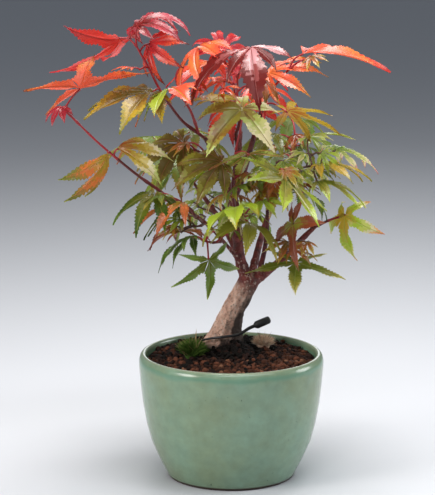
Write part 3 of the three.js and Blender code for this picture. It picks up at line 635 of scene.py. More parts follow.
def bark_relief(spots, bark_age):
    """How far the bark stands out at each spot, and the wavering that the edge of its painted shade follows.
    """
    relief, waver = np.empty(len(spots)), np.empty(len(spots))
    for index, (spot, age) in enumerate(zip(spots, bark_age)):
        point = Vector(spot)
        crack = abs(noise.noise(Vector((point.x * 0.5, point.y * 0.5, point.z * 0.24))))
        knot = noise.fractal(point * 0.28, 1.0, 2.0, 3)
        pit = noise.noise(point * 1.25)
        split = max(0.0, 0.14 - crack) / 0.14
        waver[index] = knot + 0.5 * pit
        relief[index] = (1 - age) * (0.42 * knot - 0.35 * split + 0.16 * pit) + age * 0.1 * pit
    return relief, waver


def build_wood():
    routes, ages = wood_routes()
    skin = grown_together(routes)
    spots, normals = np.empty(len(skin.vertices) * 3), np.empty(len(skin.vertices) * 3)
    skin.vertices.foreach_get("co", spots)
    skin.vertices.foreach_get("normal", normals)
    spots, normals = spots.reshape(-1, 3) / MM, normals.reshape(-1, 3)
    bark_age = ages_at(spots, ages)
    relief, waver = bark_relief(spots, bark_age)
    # Painted shade: the side away from the left light is darkened, most of all near the ground and at the
    # foot above the grit; the knots' eyes are darkened as well
    height = spots[:, 2]
    shade = normals[:, 0] * 1.8 - 0.15 + 0.75 * np.clip((82 - height) / 16, 0, 1)
    shaded = np.clip(shade + 0.6 * waver, 0, 1) * np.clip((104 - height) / 18, 0, 1) * 0.95
    shaded += np.clip((65.5 - height) / 3.5, 0, 0.9)
    for middle, radius in KNOTS:
        away = np.linalg.norm(spots - middle, axis=1) / radius
        relief += 0.75 * np.exp(-(away - 0.9) ** 2 * 3) - 0.5 * np.exp(-(away / 0.45) ** 2)
        shaded += 0.85 * np.exp(-(away / 0.55) ** 2)
    spots += normals * relief[:, None] * 0.8
    shaded = np.clip(shaded, 0, 1) * np.clip(1.3 - bark_age * 2, 0, 1)
    skin.vertices.foreach_set("co", (spots * MM).ravel())
    for name, values in (("bark_age", bark_age), ("bark_shade_and_knot_eyes", shaded)):
        skin.attributes.new(name, "FLOAT", "POINT").data.foreach_set("value", values)
    skin.polygons.foreach_set("use_smooth", [True] * len(skin.polygons))
    skin.update()
    add_piece("wood_trunk_and_boughs", skin, [bark_material()], "trunk_bark", "trunk", *BOUGHS)


build_wood()

# Leaves and their shoots
# Thin blades with five or seven saw-toothed, long-tailed lobes on slender red stalks, in pairs along
# this year's shoots. Autumn has turned the outer ones red and orange; the inner ones are still green.
LEAF_PAINTS = {
    "wine": (0.135, 0.010, 0.008),
    "crimson": (0.36, 0.014, 0.026),
    "pink": (0.66, 0.17, 0.19),
    # Painted sheen: a pale pink that stands for the whitish shine of light on the upper faces of the dark red
    # leaves
    "rose": (0.58, 0.27, 0.28),
    "scarlet": (0.58, 0.030, 0.024),
    "vermilion": (0.76, 0.095, 0.036),
    "orange": (0.72, 0.19, 0.040),
    "copper": (0.36, 0.095, 0.022),
    "rust": (0.20, 0.040, 0.014),
    "bronze": (0.19, 0.100, 0.012),
    "umber": (0.110, 0.076, 0.012),
    "gold": (0.42, 0.28, 0.018),
    "olive": (0.220, 0.205, 0.020),
    "moss_green": (0.125, 0.155, 0.014),
    "deep_green": (0.050, 0.092, 0.012),
    "green": (0.150, 0.245, 0.024),
    "lime": (0.33, 0.44, 0.022),
    "pale_green": (0.40, 0.46, 0.095),
    "cream": (0.66, 0.59, 0.330),
}
VEINS = {"red_vein": (0.50, 0.09, 0.05), "pale_vein": (0.46, 0.42, 0.14)}
SHOOT_BARKS = {
    "crimson_shoot": (0.36, 0.022, 0.030),
    "ripe_shoot": (0.150, 0.016, 0.019),
    "wine_shoot": (0.15, 0.016, 0.018),
    "brown_shoot": (0.115, 0.048, 0.034),
}
RIPE_BARK = {"crimson_shoot": "ripe_shoot"}
# How a blade is cut: lobes, angle between them, first and last lobe
FULL = (7, 38, -2, 2)
# Each spray: its shoots (the first is the stem), their bark, then its leaves. A leaf is its foot; heading,
# pitch and roll; length; droop; cut; paints from the heart of the blade to the tips; vein; breadth of the
# lobes; and, for single lobes, their share of the length and of the droop, and how much paler they are.
SPRAYS = {
    "left": ([
        [(-35, -8.8, 145.2), (-46, -11, 153.5), (-56, -12.5, 162), (-65, -13.5, 170), (-74, -14, 179)],
        [(-73, -14, 178), (-78, -14, 183), (-83, -14, 187)],
    ], "crimson_shoot", [
        ((-59, -16, 165), (246, -18, -99), 36, 41, (7, 32, 0, 2), "gold orange olive lime", "pale", 1.25),
        ((-55, -14, 167), (323, -13, 27), 31, 53, (7, 38, 0, 2),
         "copper gold cream pale_green", "pale", 1.3),
        ((-73, -12, 196), (283, 38, 8), 38, 19, (5, 66, -2, 1), "vermilion vermilion orange rust", "red"),
        ((-82, -14, 187), (236, -24, 0), 12, 50, (7, 40, -2, 2),
         "crimson crimson crimson crimson", "red", 1.5),
    ]),
    "top_left": ([
        [(-12.5, 3.1, 169), (-18, 3.4, 173), (-24, 2, 178), (-30, 0, 186), (-35, -2, 194), (-40, -3, 204),
         (-46, -3, 215)],
        [(-16, 3.2, 171.5), (-20, 1, 183), (-25, 0, 192), (-27, 2, 200), (-23, 4, 207)],
    ], "crimson_shoot", [
        ((-54, 2, 218), (184, -40, -151), 39, 36, (5, 61, -1, 2),
         "scarlet scarlet scarlet crimson", "red", 1.15),
        # Partway along its lobes this leaf is painted with the pale pink sheen, a painted highlight
        ((-46, -6, 225), (45, 42, -11), 37, 86, (7, 36, -2, 2), "wine crimson rose crimson", "red", 1.3,
         {0: (0.78, 1.15, 0.1), -1: (0.9, 1.15, 0.1), 1: (0.9, 1, 0)}),
        ((-40, 2, 216), (290, -18, 63), 25, 59, FULL, "crimson scarlet vermilion wine", "red"),
        ((-16, 8, 214), (252, -9, 32), 34, 71, FULL, "vermilion orange vermilion scarlet", "red"),
        ((-38, -8, 194), (205, -2, -10), 38, 41, FULL, "umber bronze gold olive", "pale", 1.35),
        ((-30, -8, 195), (248, 0, 24), 30, 52, FULL, "lime lime pale_green vermilion", "pale", 1.5,
         {1: (1, 1, 1), 2: (1, 1, 1), 3: (1, 1, 1)}),
    ]),
    "top_centre": ([[(2.3, 8.1, 171), (5, 8, 180), (3, 8, 189), (3, 6, 199)]], "crimson_shoot", [
        # This leaf's heart is painted with the pale pink sheen, a painted highlight, before the wine red of
        # its lobes
        ((9, -14, 215.8), (272, -13, 7), 38, 57, FULL, "rose wine wine rust", "red", 1.3,
         {-3: (0.5, 1, 0), -2: (1.6, 1.25, -0.05), -1: (0.7, 1, 0.05), 0: (1.1, 1.1, -0.05), 1: (0.6, 1, 0),
          2: (0.85, 0.7, -0.6), 3: (0.4, 1, 0)}),
        ((-5, 10, 212), (102, 42, -8), 27, 57, FULL, "scarlet crimson scarlet crimson", "red"),
        ((3, 4, 201), (270, 50, 0), 10, 30, (5, 50, -2, 2), "pink crimson pink crimson", "red"),
        ((-10, 2, 188), (302, 28, -10), 30, 48, FULL, "cream gold copper orange", "pale"),
    ]),
    "top_right": ([[(14.7, 11.9, 181), (17, 13, 187), (20, 13, 192), (28, 12, 202)]], "crimson_shoot", [
        ((35, 10, 211), (357, 4, 9), 45, 37, (7, 39, 0, 2),
         "vermilion vermilion orange scarlet", "red", 1.2),
        ((18, 16, 200), (333, 25, 33), 32, 55, FULL, "orange vermilion orange gold", "red"),
        ((27, -6, 184), (5, -16, -28), 30, 18, (7, 46, -2, 2), "copper gold gold bronze", "pale"),
    ]),
    "front": ([[(1.7, 6.6, 133), (0.5, -2, 144), (1, -9, 155), (2, -13, 166)]], "wine_shoot", [
        ((4.9, -20, 186.6), (223, -27, -15), 31, 40, (5, 70, -2, 2),
         "olive bronze pale_green cream", "pale", 1.4,
         {-2: (1, 1, 0.4), -1: (1, 1, 0.1), 0: (1, 1, -0.1), 1: (1.05, 1, 0.5), 2: (1, 1, 0.45)}),
        ((-5, -18, 161), (204, -6, -33), 29, 55, FULL, "umber umber olive bronze", "red", 1.4),
        ((8, -20, 165), (106, -35, -7), 30, 19, FULL, "moss_green pale_green olive copper", "red"),
        ((-11, -16, 156), (200, -20, 0), 14, 40, (5, 40, -2, 2), "lime lime green olive", "pale"),
    ]),
    "left_inner": ([[(-8, 4.3, 158), (-13, 3, 161), (-18, 2.5, 164)]], "wine_shoot", [
        ((-23, 2, 167), (178, -12, -40), 31, 60, FULL, "umber umber olive bronze", "red", 1.3),
    ]),
    "right_upper": ([[(20.8, 16.1, 139), (27, 14, 148), (34, 12, 153), (43, 11, 155)]], "brown_shoot", [
        ((38, 19, 168), (30, 11, -11), 26, 31, FULL, "olive lime pale_green cream", "pale"),
        ((52, 16, 162), (35, 5, 16), 28, 60, FULL, "green pale_green cream pink", "pale"),
        ((43, 4, 157), (345, 7, -4), 29, 55, FULL, "moss_green gold gold olive", "pale"),
        ((42, -2, 149), (4, 0, 0), 29, 55, FULL, "moss_green olive lime cream", "pale"),
    ]),
    "right_front": ([[(18.6, 15.7, 132), (21, 8, 139), (24.6, 0, 144), (26, -6, 149)]], "wine_shoot", [
        ((26, -16, 153), (268, -17, -35), 37, 3, FULL, "moss_green olive lime pale_green", "pale"),
        ((35, -6, 144), (84, -2, 17), 28, 61, FULL, "deep_green moss_green green deep_green", "pale"),
        ((19, -4, 151), (285, -50, 0), 22, 80, (7, 34, -2, 2), "copper gold cream orange", "red"),
    ]),
    "right_low": ([[(41.3, 12.1, 123.3), (50, 9, 128), (55, 6, 130)]], "crimson_shoot", [
        ((56, 4, 131), (246, -74, 22), 26, 70, (5, 65, -2, 2), "gold lime cream orange", "pale", 1.1),
    ]),
    "right_hanging": ([[(26, 13, 107.5), (28, 5, 114), (30, -3, 121)]], "brown_shoot", [
        ((30, -14, 130), (266, -61, 53), 24, 20, (5, 79, -2, 2), "olive rust rust copper", "red", 1.25),
        ((32, -4, 109), (265, -20, -3), 30, 3, (5, 63, -2, 2), "moss_green moss_green olive cream", "pale"),
    ]),
    "low_centre": ([[(2.8, 8.2, 125), (3, 0, 128), (5, -7, 131)]], "wine_shoot", [
        ((4, -22, 139.5), (220, 3, 26), 30, 60, (7, 37, -2, 2), "lime lime lime gold", "pale", 1.45),
        ((9, -12, 130), (270, 0, -19), 31, 51, FULL, "olive olive olive gold", "pale", 1.15),
    ]),
    "low_left": ([[(-4.2, 1.4, 118.4), (-9, -3, 118.5), (-14, -6, 120)]], "wine_shoot", [
        ((-11, -14, 112), (64, -77, 129), 26, 35, (5, 55, -2, 2),
         "moss_green green green pale_green", "pale", 0.85),
        ((-19, -10, 123), (173, -19, 18), 26, 54, FULL, "deep_green deep_green green deep_green", "pale"),
    ]),
    "left_middle": (
        [[(-17.5, -4.4, 132), (-18, -9, 133), (-20, -13, 137), (-26, -14, 141)]],
        "wine_shoot", [
        ((-23, -17, 141), (195, -3, -2), 30, 54, (7, 38, 0, 2), "gold orange copper copper", "red"),
        ((-37, -13, 145), (244, -13, -4), 29, 55, FULL, "olive moss_green deep_green green", "pale"),
    ]),
    "left_under": ([[(-13, -3, 128.5), (-15, 2, 126), (-20, 4, 125)]], "brown_shoot", [
        ((-25, 2, 123), (101, 5, -4), 29, 53, FULL, "bronze copper rust rust", "red"),
        ((-24, 9, 134), (190, -10, 20), 27, 50, (7, 36, -2, 2),
         "deep_green moss_green deep_green deep_green", "pale"),
    ]),
}
# The hidden side: leaves in opposite pairs, each pair turned on from the last. Seed, pairs, first place
# along the stem, heading of the first pair, stalk, leaf length, leaves left out where they would touch.
BACK_SPRAYS = {
    "back_left": ([[(-14.5, 37.6, 135.4), (-22, 43, 145), (-29, 46, 156)]], "wine_shoot",
        (11, 3, 0.2, 35, 15, 30, ()), "moss_green green olive copper", "pale"),
    "back_right": ([[(26.6, 40.6, 142.3), (31, 46, 152), (33, 49, 163)]], "wine_shoot",
        (23, 3, 0.2, 125, 15, 30, (4,)), "green moss_green green gold", "pale"),
    "back_top": ([[(4.9, 30.8, 168), (3, 33, 180), (1, 34, 192)]], "crimson_shoot",
        (37, 3, 0.2, 70, 15, 29, ()), "orange vermilion scarlet crimson", "red"),
    "back_low": ([[(-3.6, 26.5, 120), (-4, 36, 122), (0, 44, 126)]], "brown_shoot",
        (41, 2, 0.5, 0, 13, 28, (3,)), "green lime green olive", "pale"),
}
PAIR_TURN = 75
# The small young leaves of each spray: how many pairs, and the paints they are dealt
YOUNG_GREEN = ("green lime pale_green cream", "moss_green green olive gold", "lime pale_green cream cream")
YOUNG_BROWN = ("copper gold cream orange", "bronze copper gold cream", "rust copper bronze gold")
YOUNG_RED = ("crimson pink crimson crimson", "scarlet vermilion orange scarlet")
FINE_GROWTH = {
    "left": (0, YOUNG_BROWN), "top_left": (1, YOUNG_RED), "top_centre": (1, YOUNG_RED),
    "top_right": (2, YOUNG_BROWN), "front": (4, YOUNG_GREEN + YOUNG_BROWN),
    "left_inner": (3, YOUNG_GREEN + YOUNG_BROWN), "right_upper": (7, YOUNG_GREEN),
    "right_front": (7, YOUNG_BROWN + YOUNG_GREEN), "right_low": (1, YOUNG_GREEN),
    "right_hanging": (3, YOUNG_BROWN), "low_centre": (4, YOUNG_GREEN), "low_left": (2, YOUNG_GREEN),
    "left_middle": (2, YOUNG_BROWN + YOUNG_GREEN), "left_under": (4, YOUNG_GREEN + YOUNG_BROWN),
    "back_left": (6, YOUNG_GREEN), "back_right": (6, YOUNG_GREEN + YOUNG_BROWN),
    "back_top": (5, YOUNG_RED), "back_low": (5, YOUNG_GREEN),
}
FINE_REACH = 13
FINE_TWIG = (5, 15)
FINE_LEAF = (10, 17)
FINE_ROOM = 1.6
FINE_STATIONS = 12
LEAF_SLOTS = {  # all other sprays are leaf_lime
    "leaf_gold": ("left",), "leaf_red": ("top_left",), "leaf_wine": ("top_centre",),
    "leaf_orange": ("top_right", "right_hanging", "left_middle", "back_top"),
    "leaf_green": ("left_inner", "right_front", "low_left", "left_under", "back_left", "back_right"),
}
LOBE_LENGTHS = {7: (1, 0.94, 0.7, 0.36), 5: (1, 0.92, 0.6)}
LOBE_SHAPE = [  # share of the length, half width
    (0.36, 0.094), (0.46, 0.115), (0.56, 0.109), (0.66, 0.084), (0.76, 0.056), (0.86, 0.030),
    (0.94, 0.013), (1, 0),
]
NOTCH = 0.27
SECTOR_FILL = 0.93
TOOTH = 0.0125
BASE_STATIONS = 3
LOBE_STATIONS = 24
COLUMNS = (0.33, 0.66, 1)
COLUMN_SIDES = np.array([-1] * 4 + [0] + [1] * 4)
MIDRIB = (3, 4)
VEIN_WIDTH = 0.005
RIB_HEIGHT = 0.0045
RIB_SPACING = 0.085
MIDRIB_SINK = 0.012
RUFFLE = 0.016
HEART_SINK = 0.02
TIP_PAINT, VEIN_PAINT = 6, 7
SHOOT_STEPS = 20
SHOOT_RADII = (0.88, 0.48)
SIDE_SHOOT_RADII = (0.7, 0.48)
RIPE_STEPS = 10
TWIG_STEPS = 8
TWIG_RADII = (0.6, 0.4)
STALK_STEPS = 10
STALK_RADII = ((0, 0.12, 0.85, 1), (0.8, 0.5, 0.42, 0.6))
WELD = 0.03 * MM


def seeded(seed):
    state = seed

    def share():
        nonlocal state
        state = (state + 0x6D2B79F5) & 0xFFFFFFFF
        t = state
        t = ((t ^ (t >> 15)) * (t | 1)) & 0xFFFFFFFF
        t ^= (t + (((t ^ (t >> 7)) * (t | 61)) & 0xFFFFFFFF)) & 0xFFFFFFFF
        return (t ^ (t >> 14)) / 4294967296
    return share


def paired_leaves(stem, rule, paints, vein):
    seed, pairs, start, first_turn, stalk_length, length, left_out = rule
    share = seeded(seed)
    steps = 40
    line = smooth_path(stem, steps)
    leaves = []
    for pair in range(pairs):
        t = start + (1 - start) * (pair / (pairs - 1) if pairs > 1 else 1)
        place = min(steps - 1, int(t * steps))
        centre = line[place].lerp(line[place + 1], t * steps - place)
        ahead = (line[place + 1] - line[place]).normalized()
        for side in (0, math.pi):
            heading = math.radians(first_turn + pair * PAIR_TURN) + side + 0.5 * (share() - 0.5)
            stalk = Vector((math.cos(heading), math.sin(heading), 0.25 + 0.5 * share()))
            stalk = (stalk + 0.5 * ahead).normalized()
            foot = centre + stalk * stalk_length * (0.8 + 0.4 * share())
            pose = (math.degrees(math.atan2(stalk.y, stalk.x)), -6 - 22 * share(), 30 * (share() - 0.5))
            size = length * (0.88 + 0.26 * share())
            leaves.append((tuple(foot), pose, size, 35 + 30 * share(), FULL, paints, vein))
    return [leaf for index, leaf in enumerate(leaves) if index not in left_out]


def leaf_axes(heading, pitch, roll):
    h, p, r = (math.radians(angle) for angle in (heading, pitch, roll))
    along = Vector((math.cos(h) * math.cos(p), math.sin(h) * math.cos(p), math.sin(p)))
    level_across = Vector((-math.sin(h), math.cos(h), 0))
    across = level_across * math.cos(r) + along.cross(level_across) * math.sin(r)
    return np.array(along), np.array(across), np.array(along.cross(across))


def lobe_side(lobe, side, base_share, lobe_share, reach, wedge, breadth, lobe_stations):
    """At one station of a lobe: the blade's edge, the place on its midrib, and the next lobe's pull."""
    size = reach[lobe]
    inner = lobe + side in reach
    notch = NOTCH * min(size, reach.get(lobe + side, size)) * (1 if inner else 0.85)
    near = np.array((notch * math.cos(wedge), side * notch * math.sin(wedge)))
    if lobe_share is None:
        return near * base_share, base_share * notch * math.cos(wedge), 0.5 if inner else 0
    begin = near[0] / size
    share = begin + (1 - begin) * lobe_share
    outline = [(begin, abs(near[1]) / size)] + [stop for stop in LOBE_SHAPE if stop[0] > begin + 0.02]
    half = float(np.interp(share, *zip(*outline))) * (1 + (breadth - 1) * min(1, (share - begin) * 8))
    if lobe_share > 0.05:
        half = min(half, SECTOR_FILL * share * math.tan(wedge))
    pull = (0.5 if inner else 0) * max(0, 1 - (share - begin) / 0.12)
    if lobe_share == 1:
        return np.array((share * size, 0)), share * size, pull
    tooth = TOOTH * min(1, half / 0.08) * (1 if round(lobe_share * lobe_stations) % 2 else -1)
    ahead = 0.5 * (1 - begin) / lobe_stations if tooth > 0 else 0
    edge = np.array(((share + ahead) * size, side * max(half + tooth, 0.002) * size))
    return edge, share * size, pull


def lobe_grid(lobe, reach, wedge, breadth, vein_half, lobe_stations):
    """Rows of corners over a flat lobe: along, aside, share of the way to the edge, next lobe's pull."""
    stations = [(j / BASE_STATIONS, None) for j in range(1, BASE_STATIONS + 1)]
    stations += [(1, i / lobe_stations) for i in range(1, lobe_stations + 1)]
    rows = []
    for station in stations:
        left, right = (lobe_side(lobe, side, *station, reach, wedge, breadth, lobe_stations)
                       for side in (-1, 1))
        halves = []
        for edge, axis, pull in (left, right):
            columns = (min(0.25, vein_half / max(abs(edge[1]), 1e-6)),) + COLUMNS
            halves.append([(axis + (edge[0] - axis) * column, edge[1] * column, column, pull)
                           for column in columns])
        rows.append(halves[0][::-1] + [((left[1] + right[1]) / 2, 0, 0, 0)] + halves[1])
    return np.moveaxis(np.array(rows), -1, 0)


def lobe_relief(x, y, to_edge, size, fold, twist, waves):
    """How far a lobe's corners stand off its flat: folded at the midrib, ribbed and ruffled."""
    far, from_rib = x / size, np.abs(y)
    ribs = RIB_HEIGHT * size * np.cos(2 * math.pi * (far - from_rib / size * 1.1) / RIB_SPACING)
    ribs = ribs * np.clip(to_edge * 1.6, 0, 1) * np.clip((far - 0.12) * 5, 0, 1)
    ruffle = RUFFLE * size * np.sin(far * 11 + waves + COLUMN_SIDES) * to_edge ** 2
    return fold * from_rib + twist * far * y + ribs + ruffle - MIDRIB_SINK * size * (to_edge < 0.01)


def lobe_faces(start, far, to_edge, tone, paler, chance):
    """Faces and paint numbers over a lobe's rows of corners, which begin at start; its hub comes last."""
    rows, columns = far.shape
    hub = start + rows * columns
    faces = [(hub, start + c, start + c + 1) for c in range(columns - 1)]
    paints = [VEIN_PAINT if c in MIDRIB else 0 for c in range(columns - 1)]
    for j in range(rows - 1):
        for c in range(columns - 1):
            a = start + j * columns + c
            faces.append((a, a + columns, a + columns + 1, a + 1))
            place = far[j, c] * 0.92 + 0.20 * to_edge[j, c if c > MIDRIB[0] else c + 1]
            place = place + tone + paler + chance.uniform(-0.05, 0.05)
            on_vein = c in MIDRIB and far[j, c] < 0.86
            paints.append(VEIN_PAINT if on_vein else max(0, min(TIP_PAINT, int((place - 0.06) * 6.6))))
    return faces, paints


def blade(leaf, chance, lobe_stations=LOBE_STATIONS):
    """Corners, faces and paint numbers (0 to 6 from heart to tip, then the vein) of one leaf, in mm."""
    foot, pose, length, droop, (lobes, step, first, last), _, _, *more = leaf
    breadth = (more[0] if more else 1) * chance.uniform(0.92, 1.08)
    own = {lobe: (1, 1, 0) for lobe in range(-3, 4)} | (more[1] if more[1:] else {})
    along, across, up = leaf_axes(*pose)
    foot = np.array(foot)
    turns = {lobe: math.radians(max(droop, 1)) * (1 + chance.uniform(-0.16, 0.16)) * own[lobe][1]
             for lobe in range(-3, 4)}
    wedge = math.radians(step) / 2
    shares = LOBE_LENGTHS[lobes]
    if lobes == 7 and (first, last) == (-2, 2):
        first, last = -3, 3
    reach = {lobe: length * shares[min(abs(lobe), len(shares) - 1)] * own[lobe][0]
             for lobe in range(first, last + 1)}
    fold = chance.uniform(0.14, 0.34)
    waves = chance.uniform(0, 6.28)
    corners, faces, paints = [], [], []

    def bent(lobe, x, y, lift):
        """Flat places on the blade, bent down along the arc of one of its lobes."""
        angle = 2 * wedge * lobe
        far = x * math.cos(angle) + y * math.sin(angle)
        aside = y * math.cos(angle) - x * math.sin(angle)
        size, turn = reach[lobe], turns[lobe]
        bend = turn * far / size
        out = along * math.cos(angle) + across * math.sin(angle)
        side = across * math.cos(angle) - along * math.sin(angle)
        point = foot + np.outer(size * np.sin(bend) / turn + lift * np.sin(bend), out)
        point += np.outer(-size * (1 - np.cos(bend)) / turn + lift * np.cos(bend), up)
        return point + np.outer(aside, side)

    for lobe in range(first, last + 1):
        size = reach[lobe]
        twist = chance.uniform(-0.22, 0.22)
        sway = chance.uniform(-0.035, 0.035)
        tone = chance.uniform(-0.12, 0.12)
        x, y, to_edge, pull = lobe_grid(lobe, reach, wedge, breadth, VEIN_WIDTH * length, lobe_stations)
        far = x / size
        lift = lobe_relief(x, y, to_edge, size, fold, twist, waves).ravel()
        aside = y + sway * size * np.clip(far - 0.3, 0, None) ** 2 * 2
        angle = 2 * wedge * lobe
        flat_x = (x * math.cos(angle) - aside * math.sin(angle)).ravel()
        flat_y = (x * math.sin(angle) + aside * math.cos(angle)).ravel()
        points = bent(lobe, flat_x, flat_y, lift)
        pulls = (pull * to_edge ** 2).ravel()
        for side in (-1, 1):
            if lobe + side in reach:
                chosen = np.flatnonzero((np.tile(COLUMN_SIDES, len(x)) == side) & (pulls > 0))
                other = bent(lobe + side, flat_x[chosen], flat_y[chosen], lift[chosen])
                weight = pulls[chosen][:, None]
                points[chosen] = points[chosen] * (1 - weight) + other * weight
        new_faces, new_paints = lobe_faces(len(corners), far, to_edge, tone, own[lobe][2], chance)
        corners += [*points, foot - up * HEART_SINK * length]
        faces += new_faces
        paints += new_paints
    return corners, faces, paints


def leaf_material(name, colour, see_through=0.3, roughness=0.38, coat=0.42, specular=0.5):
    material, tree, shader = new_material(name)
    feed(tree, shader, Base_Color=colour, Roughness=roughness, Specular_IOR_Level=specular,
         Coat_Weight=coat, Coat_Roughness=0.27)
    bump_on(tree, shader, noise_on(tree, 1300, 3), 0.22, 0.0005)
    if see_through:
        light = tuple(min(1, part * 1.4 + 0.01) for part in colour)
        glow = add_node(tree, "ShaderNodeBsdfTranslucent", Color=light)
        blend = add_node(tree, "ShaderNodeMixShader", Fac=see_through)
        tree.links.new(shader.outputs[0], blend.inputs[1])
        tree.links.new(glow.outputs[0], blend.inputs[2])
        feed(tree, tree.nodes["Material Output"], Surface=blend.outputs[0])
    return material


BARKS = {name: leaf_material(name, colour, 0, 0.4, 0.15) for name, colour in SHOOT_BARKS.items()}
PAINTED = {}


def painted(first, second):
    """The key in PAINTED of a paint's material, or of the even mix of two; dark paints shine less."""
    key = tuple(sorted((first, second)))
    if key not in PAINTED:
        one, two = ((LEAF_PAINTS | VEINS)[paint] for paint in key)
        colour = tuple((a * b) ** 0.5 for a, b in zip(one, two))
        coat, specular = (0.1, 0.15) if max(colour) < 0.16 else (0.42, 0.5)
        name = "leaf_" + "_".join(sorted(set(key)))
        PAINTED[key] = leaf_material(name, colour, coat=coat, specular=specular)
    return key


def nearest_on(lines, foot):
    """The point of a spray's shoots that a leaf's stalk grows from, rather lower than the leaf."""
    points = [point for line in lines for point in line[3:]]
    return min(points, key=lambda point: (point - foot).length + 0.35 * max(0, point.z - foot.z + 6))


def stalk_route(root, leaf, index):
    foot = Vector(leaf[0])
    along, _, up = (Vector(axis) for axis in leaf_axes(*leaf[1]))
    span = (root - foot).length
    hub = foot - up * (HEART_SINK * leaf[2])
    middle = root.lerp(hub, 0.55) - along * 0.08 * span + Vector((0, 0, 0.1 * span))
    path = smooth_path([root, middle, hub], STALK_STEPS)
    return path, np.interp(np.linspace(0, 1, STALK_STEPS + 1), *STALK_RADII), index


def shoot_routes(lines, bark, bark_names):
    """Tubes with swollen nodes; the lower half of the stem has ripened to a darker bark."""
    routes = []
    for number, line in enumerate(lines):
        radii = np.linspace(*(SIDE_SHOOT_RADII if number else SHOOT_RADII), SHOOT_STEPS + 1)
        radii *= [1 + 0.3 * math.exp(-((i % 7 - 3) / 0.7) ** 2) for i in range(SHOOT_STEPS + 1)]
        ripe = 0 if number else RIPE_STEPS
        if ripe:
            routes.append((line[:ripe + 1], radii[:ripe + 1], bark_names.index(RIPE_BARK.get(bark, bark))))
        routes.append((line[ripe:], radii[ripe:], bark_names.index(bark)))
    return routes


def fine_growth(lines, leaves, pairs, taken, chance):
    """Side twigs with small young leaves in pairs, wherever the mass still has room for one."""
    tips = np.array([leaf[0] for leaf in leaves])
    low, high = tips.min(0) - FINE_REACH, tips.max(0) + FINE_REACH
    twigs = []
    for _ in range(pairs * 12):
        if len(twigs) >= pairs:
            break
        line = chance.choice(lines)
        root = line[chance.randrange(5, SHOOT_STEPS + 1)]
        heading = chance.uniform(0, 2 * math.pi)
        out = (level(heading) + Vector((0, 0, chance.uniform(-0.3, 0.9)))).normalized()
        span = chance.uniform(*FINE_TWIG)
        tip = root + out * span + Vector((0, 0, 0.15 * span))
        pair = []
        for side in (-1, 1):
            turn = math.degrees(heading) + side * chance.uniform(35, 70)
            size = chance.uniform(*FINE_LEAF)
            away = level(math.radians(turn)) + Vector((0, 0, 0.3))
            foot = tip + away * size * 0.35
            leaf = (tuple(foot), (turn, chance.uniform(-35, 15), chance.uniform(-30, 30)), size,
                    chance.uniform(25, 75), (chance.choice((5, 7)), *FULL[1:]))
            ends = [foot + away * size * share - Vector((0, 0, size * share * share * 0.3))
                    for share in (0, 0.5, 1)]
            inside = all((low < np.array(end)).all() and (np.array(end) < high).all() for end in ends)
            if inside and all(taken.find(end)[2] > FINE_ROOM for end in ends):
                pair.append(leaf)
        if pair:
            middle = root.lerp(tip, 0.5) + Vector((0, 0, 0.08 * span))
            twigs.append((smooth_path([root, middle, tip], TWIG_STEPS), pair))
    return twigs


def leaves_mesh(name, leaves, blades):
    """One mesh of a spray's blades, with a material for each paint and each even mix of two."""
    corners, faces, indices, used = [], [], [], []
    for leaf, (points, quads, paints) in zip(leaves, blades):
        tones = leaf[5].split()
        pairs = [(tones[k // 2], tones[(k + 1) // 2]) for k in range(7)] + [(tones[1], leaf[6] + "_vein")]
        keys = [painted(*pair) for pair in pairs]
        used.extend(key for key in dict.fromkeys(keys) if key not in used)
        faces.extend([tuple(len(corners) + k for k in quad) for quad in quads])
        corners.extend(points)
        indices.extend([used.index(keys[paint]) for paint in paints])
    mesh = bpy.data.meshes.new(name)
    mesh.from_pydata([tuple(point * MM) for point in corners], [], faces)
    mesh.polygons.foreach_set("material_index", indices)
    bm = bmesh.new()
    bm.from_mesh(mesh)
    bpy.data.meshes.remove(mesh)
    bmesh.ops.remove_doubles(bm, verts=bm.verts, dist=WELD)
    return mesh_from(name, bm), [PAINTED[key] for key in used]


def spots_taken(blades):
    """A tree of every fifth corner of the main leaves, to keep the young ones clear of them."""
    spots = [point for made in blades.values() for corners, _, _ in made for point in corners[::5]]
    taken = KDTree(len(spots))
    for index, spot in enumerate(spots):
        taken.insert(spot, index)
    taken.balance()
    return taken


def build_sprays():
    sprays = dict(SPRAYS)
    for name, (shoots, bark, rule, paints, vein) in BACK_SPRAYS.items():
        sprays[name] = (shoots, bark, paired_leaves(shoots[0], rule, paints, vein))
    chance = random.Random(12)
    blades = {name: [blade(leaf, chance) for leaf in leaves] for name, (_, _, leaves) in sprays.items()}
    taken = spots_taken(blades)
    bark_names = list(BARKS)
    routes = []
    for name, (shoots, bark, leaves) in sprays.items():
        lines = [smooth_path(shoot, SHOOT_STEPS) for shoot in shoots]
        routes += shoot_routes(lines, bark, bark_names)
        young_bark = bark_names.index("brown_shoot" if bark == "brown_shoot" else "crimson_shoot")
        stalk_feet = [nearest_on(lines, Vector(leaf[0])) for leaf in leaves]
        leaves, made = list(leaves), blades[name]
        pairs, tones = FINE_GROWTH[name]
        for twig, young in fine_growth(lines, leaves, pairs, taken, chance):
            routes.append((twig, np.linspace(*TWIG_RADII, TWIG_STEPS + 1), young_bark))
            for leaf in young:
                leaves.append((*leaf, chance.choice(tones), "pale"))
                stalk_feet.append(twig[-1])
                made.append(blade(leaves[-1], chance, FINE_STATIONS))
        routes += [stalk_route(foot, leaf, young_bark) for foot, leaf in zip(stalk_feet, leaves)]
        slot_name = next((slot for slot, names in LEAF_SLOTS.items() if name in names), "leaf_lime")
        add_piece("leaves_" + name, *leaves_mesh("leaves_" + name, leaves, made), slot_name, "spray_" + name)
    stems = tubes("shoots_and_stalks", routes, 8, BARKS.values())
    add_piece("shoots_and_stalks", stems, [], "shoot_bark", *("spray_" + name for name in sprays))


build_sprays()

